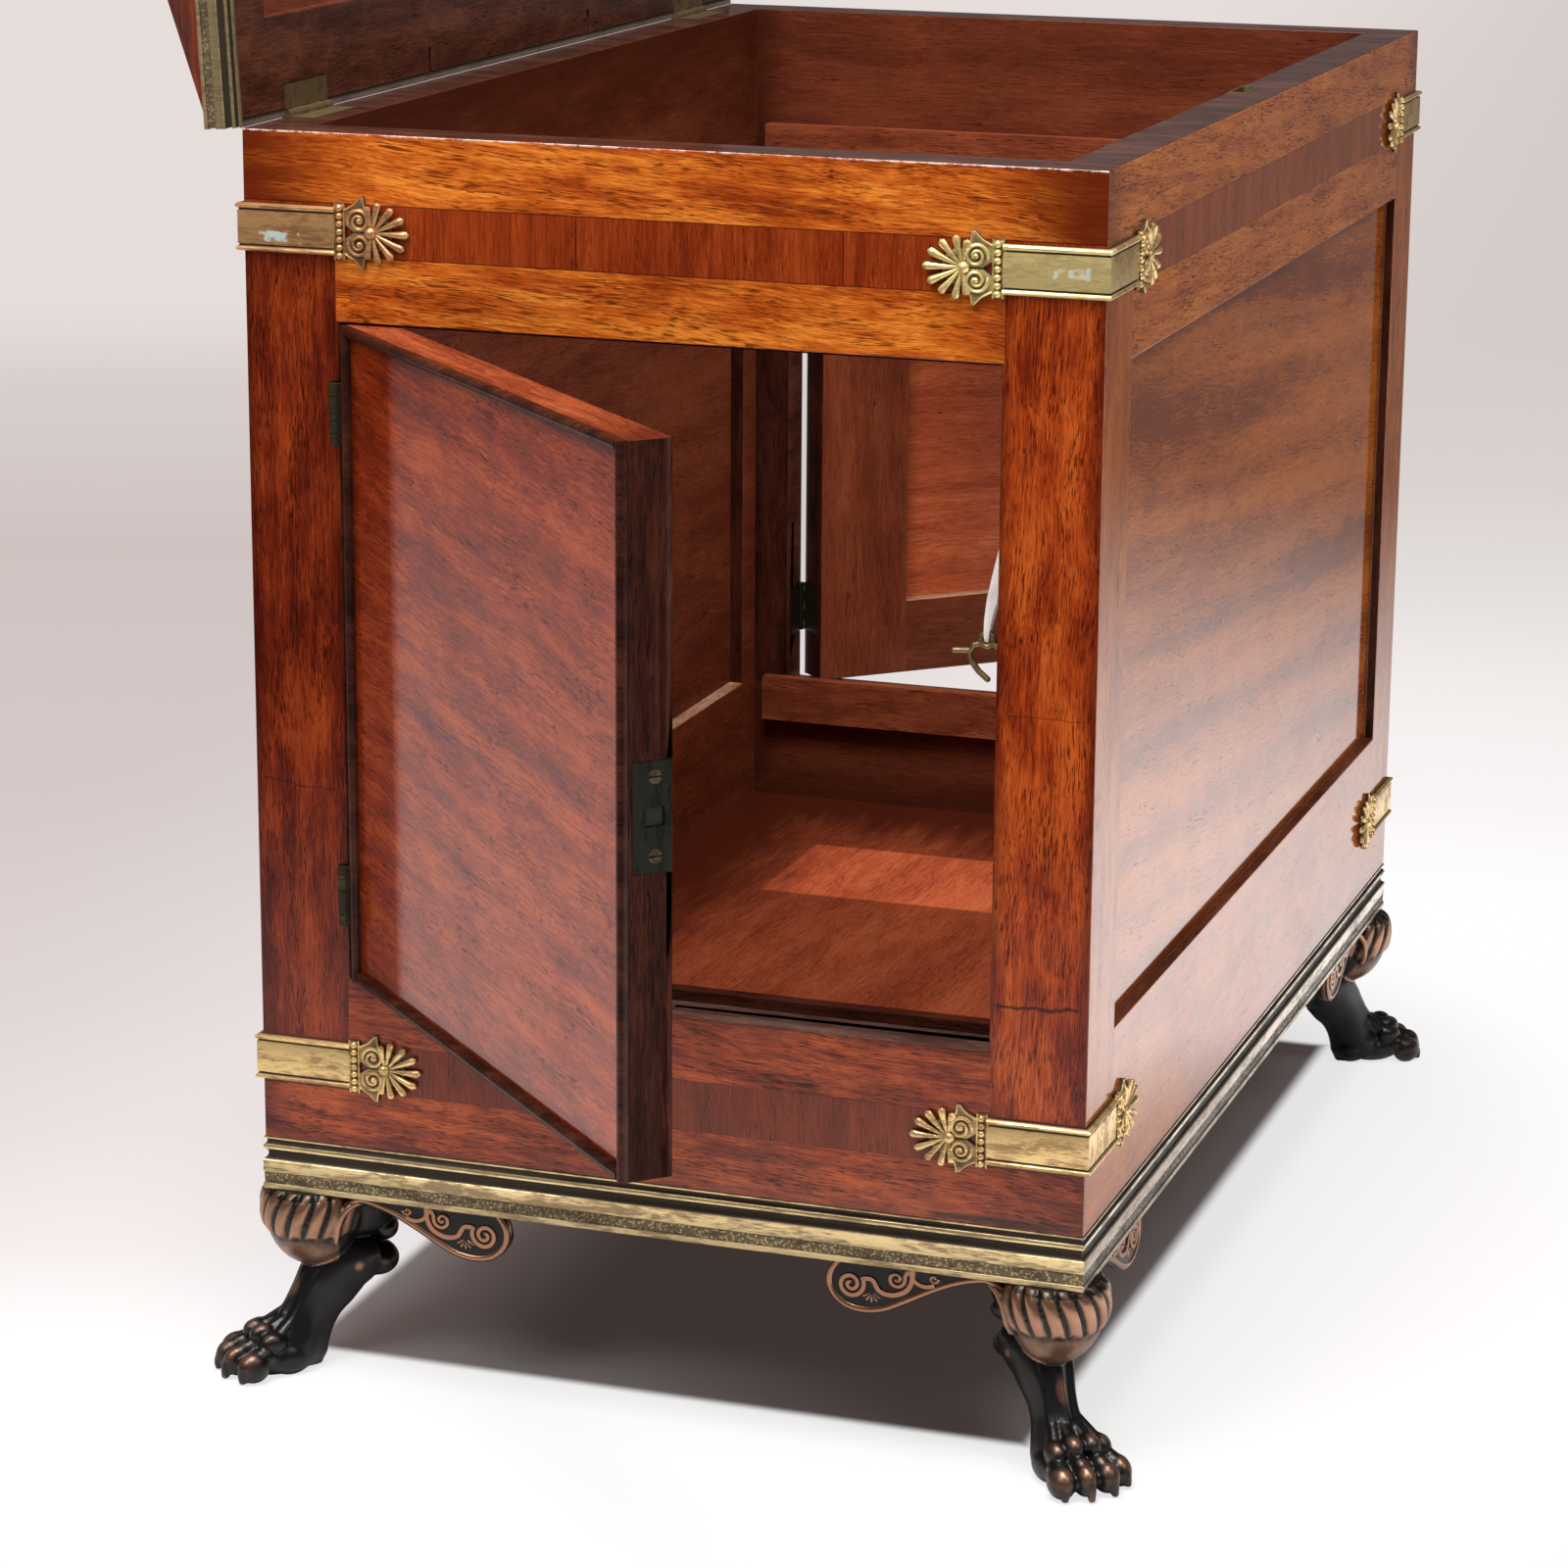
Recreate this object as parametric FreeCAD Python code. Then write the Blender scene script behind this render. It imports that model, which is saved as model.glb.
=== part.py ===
import FreeCAD, Part
import math
import os

# Regency cellarette: a mahogany wine case with a hipped lid and a door in each short end,
# bound in brass and carried on four cast lion's-paw feet.
#
# Every piece is drawn in the case frame, in millimetres: x runs across the front door,
# y from the front door to the back door, z upwards from the underside of the brass base
# moulding, with the origin at the front left corner. The whole part then moves so that
# its origin lies on the floor, in the middle of the four feet.
# Doors and lid are drawn closed, and then swung to the angle at which they stand open.

Vec = FreeCAD.Vector
UP = Vec(0, 0, 1)
ACROSS = Vec(1, 0, 0)
ALONG = Vec(0, 1, 0)
ORIGIN = Vec(0, 0, 0)

# ---- driving dimensions -------------------------------------------------------------
case_width = 406.0
case_depth = 660.0
case_height = 508.0
foot_height = 92.0

# carcass
wall = 25.0
post_width = 46.0
door_opening_bottom = 109.0
front_top_rail_height = 86.0
side_opening_bottom = 112.0
side_top_rail_height = 88.0
panel_recess_outside = 10.0
panel_thickness = 7.0
panel_tongue = 6.0
board_thickness = 14.0
base_frame_width = 62.0
batten_height = 26.0
batten_thickness = 8.0
batten_overlap = 5.0
batten_end_inset = 33.0

# brass mouldings round the base and round the lid
base_moulding_height = 26.0
moulding_thickness = 4.0
moulding_proud = 1.0

# corner mounts
mount_middle_height = 11.0
mount_below_rim = 44.5
mount_lower_z = 67.0
mount_band_thickness = 2.2
mount_rim_thickness = 3.0
mount_rim_height = 2.4
bead_count = 7
bead_radius = 1.75
bead_pitch = 3.6
anthemion_gap = 5.0
anthemion_root = 11.0
petal_count = 9
petal_spread = 105.0
petal_radius = 2.5
petal_neck = 0.9
petal_start = 4.5
petal_middle_length = 21.5
petal_side_length = 13.5

# doors
door_gap = 1.0
door_free_gap = 1.5
door_thickness = 20.0
door_stop_gap = 1.4
door_stile = 57.0
door_rail = 44.0
door_panel_thickness = 12.0
bead_strip_width = 5.0
bead_strip_proud = 4.0
front_door_angle = 45.0
back_door_angle = 44.0

# door hinges
hinge_axis_inset = 1.5
hinge_axis_y = -1.5
hinge_length = 28.5
hinge_from_middle = 114.5
knuckle_radius = 2.8
hinge_pin_radius = 1.4
pin_clearance = 0.06
leaf_thickness = 1.2
leaf_reach = 18.0
relief_clearance = 0.4
knuckle_count = 5
knuckle_gap = 0.15

# door locks
lock_plate_height = 47.0
lock_plate_width = 17.4
lock_plate_thickness = 1.6
lock_plate_depth = 10.7
lock_case_height = 44.0
lock_case_width = 14.0
lock_case_reach = 38.0
bolt_side = 7.8
bolt_length = 24.0
bolt_throw = 8.0
bolt_setback = 0.8
bolt_depth = 12.2
bolt_clearance = 0.2
keyhole_radius = 2.6
keyhole_slot = 7.0
keyhole_reach = 22.0
strike_height = 40.0
strike_width = 13.0
lock_screw_from_middle = 16.7
screw_head_radius = 3.0
screw_head_height = 1.6
screw_shank_radius = 1.5
screw_length = 12.0
screw_slot = 0.7

# lid
lid_gap = 0.8
lid_edge = 18.0
lid_open_angle = 93.1
lid_long_rail = 43.0
lid_end_rail = 30.0
lid_panel_recess = 5.0
lid_panel_thickness = 6.0
lid_slope_start = 2.6
lid_slope_run = 72.0
lid_slope_angle = 38.5
lid_board = 13.0
lid_hinge_length = 47.0
lid_hinge_from_post = 2.0
lid_knuckle_radius = 2.5
lid_leaf_reach = 14.0
lid_scoops_from_middle = (-111.0, 104.0)
lid_scoop_width = 4.0
lid_scoop_reach = 12.0
lid_scoop_depth = 2.5

# lid lock
lid_lock_height = 40.0
lid_lock_length = 64.0
lid_lock_thickness = 9.0
lid_lock_neck = 30.0
lid_lock_cover = 2.0
lid_lock_slot = 26.0
staple_width = 6.4
staple_thickness = 3.2
staple_reach = 13.0
staple_side_gap = 0.5
staple_end_gap = 0.8
staple_floor = 2.8
link_plate_length = 44.0
link_plate_width = 12.0
link_plate_thickness = 1.4
lid_bolt_side = 3.0
lid_bolt_length = 26.0
lid_bolt_eye_gap = 0.4

# feet, in the upright plane through each corner: distance outwards from the corner
cup_middle = -24.0
cup_radius = 28.0
cup_rib_count = 20
cup_rib_depth = 2.2
paw_width = 15.0
toe_radius = 5.6
toe_count = 4
flange_side = 52.0
flange_inset = 10.0
flange_thickness = 4.0
foot_screw_length = 20.0

# scroll brackets
bracket_thickness = 6.0
bracket_start = 45.5

# key on its ribbon
key_thickness = 2.6
key_arm = 1.4
tack_radius = 2.6
tack_pin_radius = 0.9
ribbon_width = 5.0
ribbon_thickness = 0.8
ribbon_fold_half = 1.05

tack_from_opening = 3.5
tack_below_rail = 34.0
key_from_opening = 12.7
key_below_tack = 95.6
key_from_wall = 3.6

# ---- worked out from the above ------------------------------------------------------
half_width = case_width / 2
half_depth = case_depth / 2
door_opening_top = case_height - front_top_rail_height
door_opening_right = case_width - post_width
side_opening_top = case_height - side_top_rail_height
mount_upper_z = case_height - mount_below_rim
hinge_axis_x = post_width - hinge_axis_inset
moulding_back = moulding_thickness - moulding_proud
door_face_y = wall - door_stop_gap - door_thickness
door_back_y = door_face_y + door_thickness
door_left = post_width + door_gap
door_right = case_width - post_width - door_free_gap
door_bottom = door_opening_bottom + door_gap
door_top = door_opening_top - door_gap
door_middle_z = (door_bottom + door_top) / 2
lid_under = case_height + lid_gap
lid_axis = Vec(0, 0, case_height + lid_gap / 2)
front_axis = Vec(hinge_axis_x, hinge_axis_y, 0)
back_axis = Vec(hinge_axis_x, case_depth - hinge_axis_y, 0)
mount_band_length = post_width
lid_hinge_from_end = post_width + lid_hinge_from_post
anthemion_start = mount_band_length + anthemion_gap
right_inside = case_width - wall
lock_middle_z = door_middle_z
tack_z = door_opening_top - tack_below_rail
tack_place = Vec(door_opening_right + tack_from_opening, wall, tack_z)
key_eye = Vec(door_opening_right - key_from_opening, wall + key_from_wall, tack_z - key_below_tack)


# ---- small helpers ------------------------------------------------------------------
def block(x, y, z):
    """Box between the (low, high) pairs x, y and z."""
    low = Vec(x[0], y[0], z[0])
    return Part.makeBox(x[1] - x[0], y[1] - y[0], z[1] - z[0], low)


def about(middle, length):
    """(low, high) of a length centred on middle."""
    return (middle - length / 2, middle + length / 2)


def rod(start, direction, radius, length):
    """Round bar from start along direction."""
    return Part.makeCylinder(radius, length, start, direction)


def plate_xz(outline, y):
    """Closed outline of (x, z) points, given thickness between the pair y."""
    points = [Vec(px, y[0], pz) for px, pz in outline]
    face = Part.Face(Part.makePolygon(points + points[:1]))
    return face.extrude(Vec(0, y[1] - y[0], 0))


def fused(shapes):
    """One clean solid from several that touch or overlap."""
    joined = shapes[0].fuse(shapes[1:])
    return joined.removeSplitter()


def mirrored_x(shape):
    """Copy on the other side of the case, left to right."""
    return shape.mirror(Vec(half_width, 0, 0), ACROSS)


def mirrored_y(shape):
    """Copy at the other end of the case, front to back."""
    return shape.mirror(Vec(0, half_depth, 0), ALONG)


def four_corners(shape):
    """Front left shape with its copies at the other three corners."""
    right = mirrored_x(shape)
    return [shape, right, mirrored_y(shape), mirrored_y(right)]


def turned(shape, centre, axis, degrees):
    """Copy turned about an axis through centre."""
    copy = shape.copy()
    copy.rotate(centre, axis, degrees)
    return copy


# ---- carcass ------------------------------------------------------------------------
def door_hinge_heights():
    """Middle heights of the two hinges of a door."""
    return [door_middle_z - hinge_from_middle, door_middle_z + hinge_from_middle]


def hinge_relief(radius, start, length, direction):
    """Round clearance cut about a hinge axis."""
    return rod(start, direction, radius + relief_clearance, length)


def side_panel_groove():
    """Space of the left side panel with its tongues."""
    x = (panel_recess_outside, panel_recess_outside + panel_thickness)
    y = (post_width - panel_tongue, case_depth - post_width + panel_tongue)
    z = (side_opening_bottom - panel_tongue, side_opening_top + panel_tongue)
    return block(x, y, z)


def plain_post():
    """Front left corner post: two legs in an L, grooved for the side panel."""
    z = (base_moulding_height, case_height)
    front_leg = block((0, post_width), (0, wall), z)
    side_leg = block((0, wall), (0, post_width), z)
    return fused([front_leg, side_leg]).cut(side_panel_groove())


def left_front_post():
    """Post that carries the two hinges of the front door."""
    post = plain_post()
    for middle in door_hinge_heights():
        z = (middle - hinge_length / 2, middle + hinge_length / 2)
        leaf = block((post_width - leaf_thickness, post_width), (-1, leaf_reach), z)
        foot = Vec(hinge_axis_x, hinge_axis_y, z[0])
        post = post.cut(leaf).cut(hinge_relief(knuckle_radius, foot, hinge_length, UP))
    return post


def strike_space():
    """Space of the front strike plate, let into the right post."""
    x = (case_width - post_width, case_width - post_width + leaf_thickness)
    middle = door_face_y + bolt_depth
    y = (middle - strike_width / 2, middle + strike_width / 2)
    z = (lock_middle_z - strike_height / 2, lock_middle_z + strike_height / 2)
    return block(x, y, z)


def bolt_hole(x, extra):
    """Square hole for the front bolt, between the pair x."""
    middle = door_face_y + bolt_depth
    half = bolt_side / 2 + extra
    y = (middle - half, middle + half)
    z = (lock_middle_z - half, lock_middle_z + half)
    return block(x, y, z)


def right_front_post():
    """Post that takes the bolt of the front door."""
    face = case_width - post_width
    post = mirrored_x(plain_post()).cut(strike_space())
    return post.cut(bolt_hole((face, face + bolt_throw + 3), 0.6))


def strike_plate():
    """Front strike plate with its bolt hole."""
    face = case_width - post_width
    return strike_space().cut(bolt_hole((face - 1, face + leaf_thickness + 1), 0.6))


def end_rail(z):
    """Rail across the front, between the posts."""
    return block((post_width, case_width - post_width), (0, wall), z)


def side_rail(z):
    """Rail along the left side, grooved for the panel."""
    rail = block((0, wall), (post_width, case_depth - post_width), z)
    return rail.cut(side_panel_groove())


def lid_hinge_spans():
    """(low, high) y of the two lid hinges."""
    front = (lid_hinge_from_end, lid_hinge_from_end + lid_hinge_length)
    back = (case_depth - front[1], case_depth - front[0])
    return [front, back]


def lid_relief(span):
    """Round clearance about the lid axis over one hinge."""
    start = lid_axis + Vec(0, span[0], 0)
    return hinge_relief(lid_knuckle_radius, start, span[1] - span[0], ALONG)


def left_top_rail():
    """Left rail under the lid hinges, let in for their leaves."""
    rail = side_rail((side_opening_top, case_height))
    for span in lid_hinge_spans():
        z = (case_height - leaf_thickness, case_height)
        rail = rail.cut(block((-1, lid_leaf_reach), span, z)).cut(lid_relief(span))
    return rail


def lid_lock_space():
    """Space of the lid lock, let into the inner face of the right rail; its neck shows on the rim."""
    x = (right_inside, right_inside + lid_lock_thickness)
    body_z = (case_height - lid_lock_height, case_height - lid_lock_cover)
    body = block(x, about(half_depth, lid_lock_length), body_z)
    return fused([body, block(x, about(half_depth, lid_lock_neck), (body_z[1] - 1, case_height))])


def right_top_rail():
    """Right rail with the mortise of the lid lock."""
    return mirrored_x(side_rail((side_opening_top, case_height))).cut(lid_lock_space())


def side_panel():
    """Left side panel with tongues in the grooves."""
    return side_panel_groove()


def stop_battens():
    """The two battens inside the front opening that the door shuts against."""
    x = (batten_end_inset, case_width - batten_end_inset)
    y = (wall, wall + batten_thickness)
    top = door_opening_top - batten_overlap
    bottom = door_opening_bottom + batten_overlap
    return [
        block(x, y, (top, top + batten_height)),
        block(x, y, (bottom - batten_height, bottom)),
    ]


def bottom_board():
    """Floor of the case."""
    z = (base_moulding_height, base_moulding_height + board_thickness)
    return block((wall, right_inside), (wall, case_depth - wall), z)


def foot_screw_places():
    """Plan places of the two screws of the front left foot."""
    near = flange_inset + flange_side - 8
    far = flange_inset + 8
    return [(near, far + 18), (far + 18, near)]


def screw_cut(start, direction, length):
    """Space of a countersunk screw that is driven along direction from start."""
    shank = rod(start, direction, screw_shank_radius, length)
    head = Part.makeCone(
        screw_head_radius, screw_shank_radius, screw_head_height, start, direction
    )
    return fused([head, shank])


def screw(start, direction, length, slot_along):
    """Countersunk slotted screw; its slot runs along slot_along."""
    body = screw_cut(start, direction, length)
    side = direction.cross(slot_along)
    size = 2 * screw_head_radius
    corner = start - slot_along * screw_head_radius - side * (screw_slot / 2)
    cutter = oriented_box(corner, slot_along, side, direction, (size, screw_slot, screw_slot))
    return body.cut(cutter)


def oriented_box(corner, first, second, third, sizes):
    """Box with one corner and three edge directions given."""
    a = first * sizes[0]
    b = second * sizes[1]
    c = third * sizes[2]
    base = [corner, corner + a, corner + a + b, corner + b, corner]
    return Part.Face(Part.makePolygon(base)).extrude(c)


def foot_screws_front_left():
    """The two screws that hold the front left foot to the base frame."""
    level = -flange_thickness
    places = foot_screw_places()
    return [screw(Vec(x, y, level), UP, foot_screw_length, ACROSS) for x, y in places]


def base_frame():
    """Four members under the case, drilled for the foot screws."""
    low = moulding_back
    high_x = case_width - moulding_back
    high_y = case_depth - moulding_back
    z = (0, base_moulding_height)
    front = block((low, high_x), (low, low + base_frame_width), z)
    side_y = (low + base_frame_width, high_y - base_frame_width)
    side = block((low, low + base_frame_width), side_y, z)
    for x, y in foot_screw_places():
        front = front.cut(screw_cut(Vec(x, y, -flange_thickness), UP, foot_screw_length))
        other = Vec(case_width - x, y, -flange_thickness)
        front = front.cut(screw_cut(other, UP, foot_screw_length))
    return [front, mirrored_y(front), side, mirrored_x(side)]


# ---- brass mouldings ----------------------------------------------------------------
def moulding_outline(height):
    """(distance outwards from the case face, share of the height) of the section."""
    shares = [
        (-moulding_back, 0.0),
        (moulding_proud, 0.0),
        (moulding_proud, 0.17),
        (0.3, 0.19),
        (0.3, 0.38),
        (moulding_proud, 0.40),
        (moulding_proud, 0.62),
        (-0.4, 0.66),
        (-1.1, 0.73),
        (-0.7, 0.80),
        (0.5, 0.83),
        (0.8, 0.88),
        (0.5, 0.93),
        (-0.3, 0.94),
        (-0.3, 1.0),
        (-moulding_back, 1.0),
    ]
    return [(out, share * height) for out, share in shares]


def mitre_wedge(length, height):
    """Plan trapezium that cuts a front moulding to its mitres."""
    out = moulding_proud + 1
    deep = moulding_back + 1
    plan = [
        Vec(-out, -out, -1),
        Vec(length + out, -out, -1),
        Vec(length - deep, deep, -1),
        Vec(deep, deep, -1),
    ]
    return Part.Face(Part.makePolygon(plan + plan[:1])).extrude(Vec(0, 0, height + 2))


def moulding_length(length, height):
    """Mitred moulding along the front of a case of that length."""
    start = -moulding_proud - 1
    points = [Vec(start, -out, z) for out, z in moulding_outline(height)]
    bar = Part.Face(Part.makePolygon(points + points[:1])).extrude(Vec(length - 2 * start, 0, 0))
    return bar.common(mitre_wedge(length, height))


def moulding_ring(height):
    """Front, back, left and right mouldings, standing on z = 0."""
    front = moulding_length(case_width, height)
    left = turned(moulding_length(case_depth, height), ORIGIN, UP, -90)
    left.translate(Vec(0, case_depth, 0))
    return [front, mirrored_y(front), left, mirrored_x(left)]


# ---- corner mounts ------------------------------------------------------------------
def petal(angle, length):
    """One lobe of the palmette, a round-ended club that grows outwards from the root."""
    waist = length - petal_radius
    bevel = petal_radius * math.sin(math.radians(45))
    near = Vec(petal_start, 0, 0)
    shoulder = Vec(waist, 0, petal_radius)
    tip = Vec(length, 0, 0)
    edges = [
        Part.makeLine(near, near + UP * petal_neck),
        Part.makeLine(near + UP * petal_neck, shoulder),
        Part.Arc(shoulder, Vec(waist + bevel, 0, bevel), tip).toShape(),
        Part.makeLine(tip, near),
    ]
    lobe = Part.Face(Part.Wire(edges)).revolve(ORIGIN, ACROSS, 360)
    lobe = turned(lobe, ORIGIN, ALONG, -angle)
    lobe.translate(Vec(anthemion_start + anthemion_root, 0, 0))
    return lobe


def anthemion():
    """Palmette on the front face beside the band, around z = 0."""
    shapes = []
    for number in range(petal_count):
        share = 2 * number / (petal_count - 1) - 1
        length = petal_middle_length + (petal_side_length - petal_middle_length) * share ** 2
        shapes.append(petal(share * petal_spread, length))
    root = anthemion_start + anthemion_root
    shapes.append(rod(Vec(root, 0, 0), -ALONG, 9.0, 1.0))
    shapes.append(block((anthemion_start - 1, root + 2), (-1.0, 0), (-6.5, 6.5)))
    for side in (-1, 1):
        shapes.append(Part.makeTorus(3.4, 1.3, Vec(anthemion_start + 4.5, -1, side * 5.2), ALONG))
        shapes.append(Part.makeCone(1.8, 0.5, 9, Vec(anthemion_start + 3, -0.6, side * 9), UP * side))
    shapes.append(Part.makeSphere(2.4, Vec(root - 1.5, -0.8, 0)))
    behind = block((0, 200), (0, 10), (-40, 40))
    return fused(shapes).cut(behind)


def mount_face():
    """Half of a corner mount: band, beads and palmette on the front face."""
    high = mount_middle_height
    band_x = (-mount_rim_thickness, mount_band_length)
    band = block(
        (-mount_band_thickness, mount_band_length), (-mount_band_thickness, 0), (-high, high)
    )
    shapes = [band]
    for z in ((high - mount_rim_height, high), (-high, mount_rim_height - high)):
        shapes.append(block(band_x, (-mount_rim_thickness, 0), z))
    column = mount_band_length + bead_radius + 0.6
    half = bead_pitch * bead_count / 2
    shapes.append(block((mount_band_length, anthemion_start), (-1.0, 0), (-half, half)))
    for number in range(bead_count):
        z = (number - (bead_count - 1) / 2) * bead_pitch
        shapes.append(Part.makeSphere(bead_radius, Vec(column, -0.9, z)))
    behind = block((0, 200), (0, 10), (-40, 40))
    joined = fused(shapes).cut(behind)
    return fused([joined, anthemion()])


def corner_mount(level):
    """Whole mount, wrapped round the front left corner at the given height."""
    front = mount_face()
    side = front.mirror(ORIGIN, Vec(1, -1, 0))
    mount = fused([front, side])
    mount.translate(Vec(0, 0, level))
    return mount


# ---- hinges -------------------------------------------------------------------------
def knuckle_ring(start, direction, radius, length):
    """Row of hinge knuckles as (outer tube, bore), before it is shared out."""
    bore = rod(start, direction, hinge_pin_radius + pin_clearance, length)
    return rod(start, direction, radius, length).cut(bore)


def knuckle_spans(length):
    """(start, length) of each knuckle; even ones belong to the fixed leaf."""
    pitch = length / knuckle_count
    return [(number * pitch, pitch) for number in range(knuckle_count)]


def hinge_side(start, direction, radius, length, leaf, moving):
    """Leaf with its own knuckles, cleared of those of the other leaf."""
    tube = knuckle_ring(start, direction, radius, length)
    side = fused([tube, leaf.cut(rod(start, direction, radius * 0.8, length))])
    bore = rod(start, direction, hinge_pin_radius + pin_clearance, length)
    side = side.cut(bore)
    for number, (offset, span) in enumerate(knuckle_spans(length)):
        if (number % 2 == 1) != moving:
            foot = start + direction * (offset - knuckle_gap)
            width = span + 2 * knuckle_gap
            side = side.cut(rod(foot, direction, radius + relief_clearance, width))
    return side


def case_door_hinge(middle):
    """Fixed leaf of a front door hinge, on the post."""
    start = Vec(hinge_axis_x, hinge_axis_y, middle - hinge_length / 2)
    z = (start.z, start.z + hinge_length)
    x = (post_width - leaf_thickness, post_width)
    leaf = block(x, (hinge_axis_y, leaf_reach), z)
    return hinge_side(start, UP, knuckle_radius, hinge_length, leaf, False)


def moving_leaf_blanks(z):
    """Blank of the moving leaf: the plate in the door and its crank to the knuckle."""
    x = (door_left, door_left + leaf_thickness)
    plate = block(x, (hinge_axis_y, leaf_reach), z)
    crank = block((hinge_axis_x, x[1]), about(hinge_axis_y, leaf_thickness), z)
    return [plate, crank]


def door_hinge_leaf(middle):
    """Moving leaf of a front door hinge, let into the edge of the closed door."""
    start = Vec(hinge_axis_x, hinge_axis_y, middle - hinge_length / 2)
    z = (start.z, start.z + hinge_length)
    leaf = fused(moving_leaf_blanks(z))
    return hinge_side(start, UP, knuckle_radius, hinge_length, leaf, True)


def door_hinge_pins():
    """The two pins of the front door hinges, with small rounded ends."""
    pins = []
    for middle in door_hinge_heights():
        start = Vec(hinge_axis_x, hinge_axis_y, middle - hinge_length / 2)
        pins.append(rod(start, UP, hinge_pin_radius, hinge_length))
    return pins


def lid_hinge(span, moving):
    """One leaf of a lid hinge, flush in the rim or in the lid's underside."""
    start = lid_axis + Vec(0, span[0], 0)
    low = lid_under if moving else case_height - leaf_thickness
    leaf = block((0, lid_leaf_reach), span, (low, low + leaf_thickness))
    return hinge_side(start, ALONG, lid_knuckle_radius, span[1] - span[0], leaf, moving)


def lid_hinge_pin(span):
    """Pin of a lid hinge."""
    return rod(lid_axis + Vec(0, span[0], 0), ALONG, hinge_pin_radius, span[1] - span[0])


# ---- doors --------------------------------------------------------------------------
def door_hinge_cut(shape):
    """Door piece with the room for both hinges taken out."""
    for middle in door_hinge_heights():
        z = (middle - hinge_length / 2, middle + hinge_length / 2)
        foot = Vec(hinge_axis_x, hinge_axis_y, z[0])
        plate, crank = moving_leaf_blanks(z)
        shape = shape.cut(plate).cut(hinge_relief(knuckle_radius, foot, hinge_length, UP))
    return shape


def lock_space():
    """Room of the lock in the free stile: the case and the plate on the edge."""
    case_y = door_face_y + lock_plate_depth
    half = lock_case_width / 2
    z = (lock_middle_z - lock_case_height / 2, lock_middle_z + lock_case_height / 2)
    case = block((door_right - lock_case_reach, door_right), (case_y - half, case_y + half), z)
    half = lock_plate_width / 2
    z = (lock_middle_z - lock_plate_height / 2, lock_middle_z + lock_plate_height / 2)
    x = (door_right - lock_plate_thickness, door_right)
    return fused([case, block(x, (case_y - half, case_y + half), z)])


def keyhole():
    """Keyhole through the inner face of the door into the lock."""
    x = door_right - keyhole_reach
    start = Vec(x, door_face_y + lock_plate_depth, lock_middle_z + 4)
    hole = rod(start, ALONG, keyhole_radius, door_thickness)
    y = (start.y, start.y + door_thickness)
    slot = block((x - 1.2, x + 1.2), y, (start.z - keyhole_slot, start.z))
    return fused([hole, slot])


def lock_screw_places():
    """Heights of the two screws in the lock plate."""
    return [lock_middle_z - lock_screw_from_middle, lock_middle_z + lock_screw_from_middle]


def lock_screw_start(z):
    """Head centre of a lock screw, on the free edge of the closed door."""
    return Vec(door_right, door_face_y + bolt_depth, z)


def door_frame():
    """Stiles and rails of the closed front door, as four pieces."""
    y = (door_face_y, door_back_y)
    z = (door_bottom, door_top)
    inner = (door_left + door_stile, door_right - door_stile)
    groove_y = (door_face_y, door_face_y + door_panel_thickness)
    panel = door_panel_space(groove_y)
    hinge_stile = door_hinge_cut(block((door_left, inner[0]), y, z).cut(panel))
    lock_stile = block((inner[1], door_right), y, z).cut(panel).cut(lock_space()).cut(keyhole())
    for height in lock_screw_places():
        lock_stile = lock_stile.cut(screw_cut(lock_screw_start(height), -ACROSS, screw_length))
    bottom = block(inner, y, (door_bottom, door_bottom + door_rail)).cut(panel)
    top = block(inner, y, (door_top - door_rail, door_top)).cut(panel)
    return [hinge_stile, lock_stile, bottom, top]


def door_panel_space(y):
    """Room of the door panel between the pair y, tongues included."""
    x = (door_left + door_stile - panel_tongue, door_right - door_stile + panel_tongue)
    z = (door_bottom + door_rail - panel_tongue, door_top - door_rail + panel_tongue)
    return block(x, y, z)


def door_panel():
    """Panel of the front door, flush with the frame outside and sunk inside."""
    return door_panel_space((door_face_y, door_face_y + door_panel_thickness))


def door_beads():
    """Cock beads round the face of the closed front door, with rounded noses."""
    nose = bead_strip_width / 2
    face = door_face_y
    front = face - bead_strip_proud
    z = (door_bottom, door_top)
    lower = (door_left, door_right)
    straight = (front + nose, face)

    behind = block(lower, (face, face + nose), z)

    def upright(x):
        strip = block(x, straight, z)
        round_nose = rod(Vec((x[0] + x[1]) / 2, front + nose, z[0]), UP, nose, z[1] - z[0])
        return fused([strip, round_nose]).cut(behind)

    def level(height):
        x = (lower[0] + bead_strip_width, lower[1] - bead_strip_width)
        strip = block(x, straight, height)
        middle = Vec(x[0], front + nose, (height[0] + height[1]) / 2)
        return fused([strip, rod(middle, ACROSS, nose, x[1] - x[0])]).cut(behind)

    left = door_hinge_cut(upright((lower[0], lower[0] + bead_strip_width)))
    right = upright((lower[1] - bead_strip_width, lower[1]))
    bottom = level((z[0], z[0] + bead_strip_width))
    top = level((z[1] - bead_strip_width, z[1]))
    return [left, right, bottom, top]


def bolt_x():
    """(low, high) x of the drawn-back bolt of the closed front door."""
    nose = door_right - bolt_setback
    return (nose - bolt_length, nose)


def door_lock():
    """Lock case and its plate, with room for the bolt and the keyhole."""
    low, high = bolt_x()
    room = bolt_hole((low - 0.5, door_right + 1), bolt_clearance)
    lock = lock_space().cut(room).cut(keyhole())
    for height in lock_screw_places():
        lock = lock.cut(screw_cut(lock_screw_start(height), -ACROSS, screw_length))
    return lock


def door_bolt():
    """Sliding bolt of the front door, drawn back."""
    return bolt_hole(bolt_x(), 0)


def lock_screws():
    """The two screws in the edge of the closed front door."""
    heights = lock_screw_places()
    return [screw(lock_screw_start(z), -ACROSS, screw_length, ALONG) for z in heights]


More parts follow.
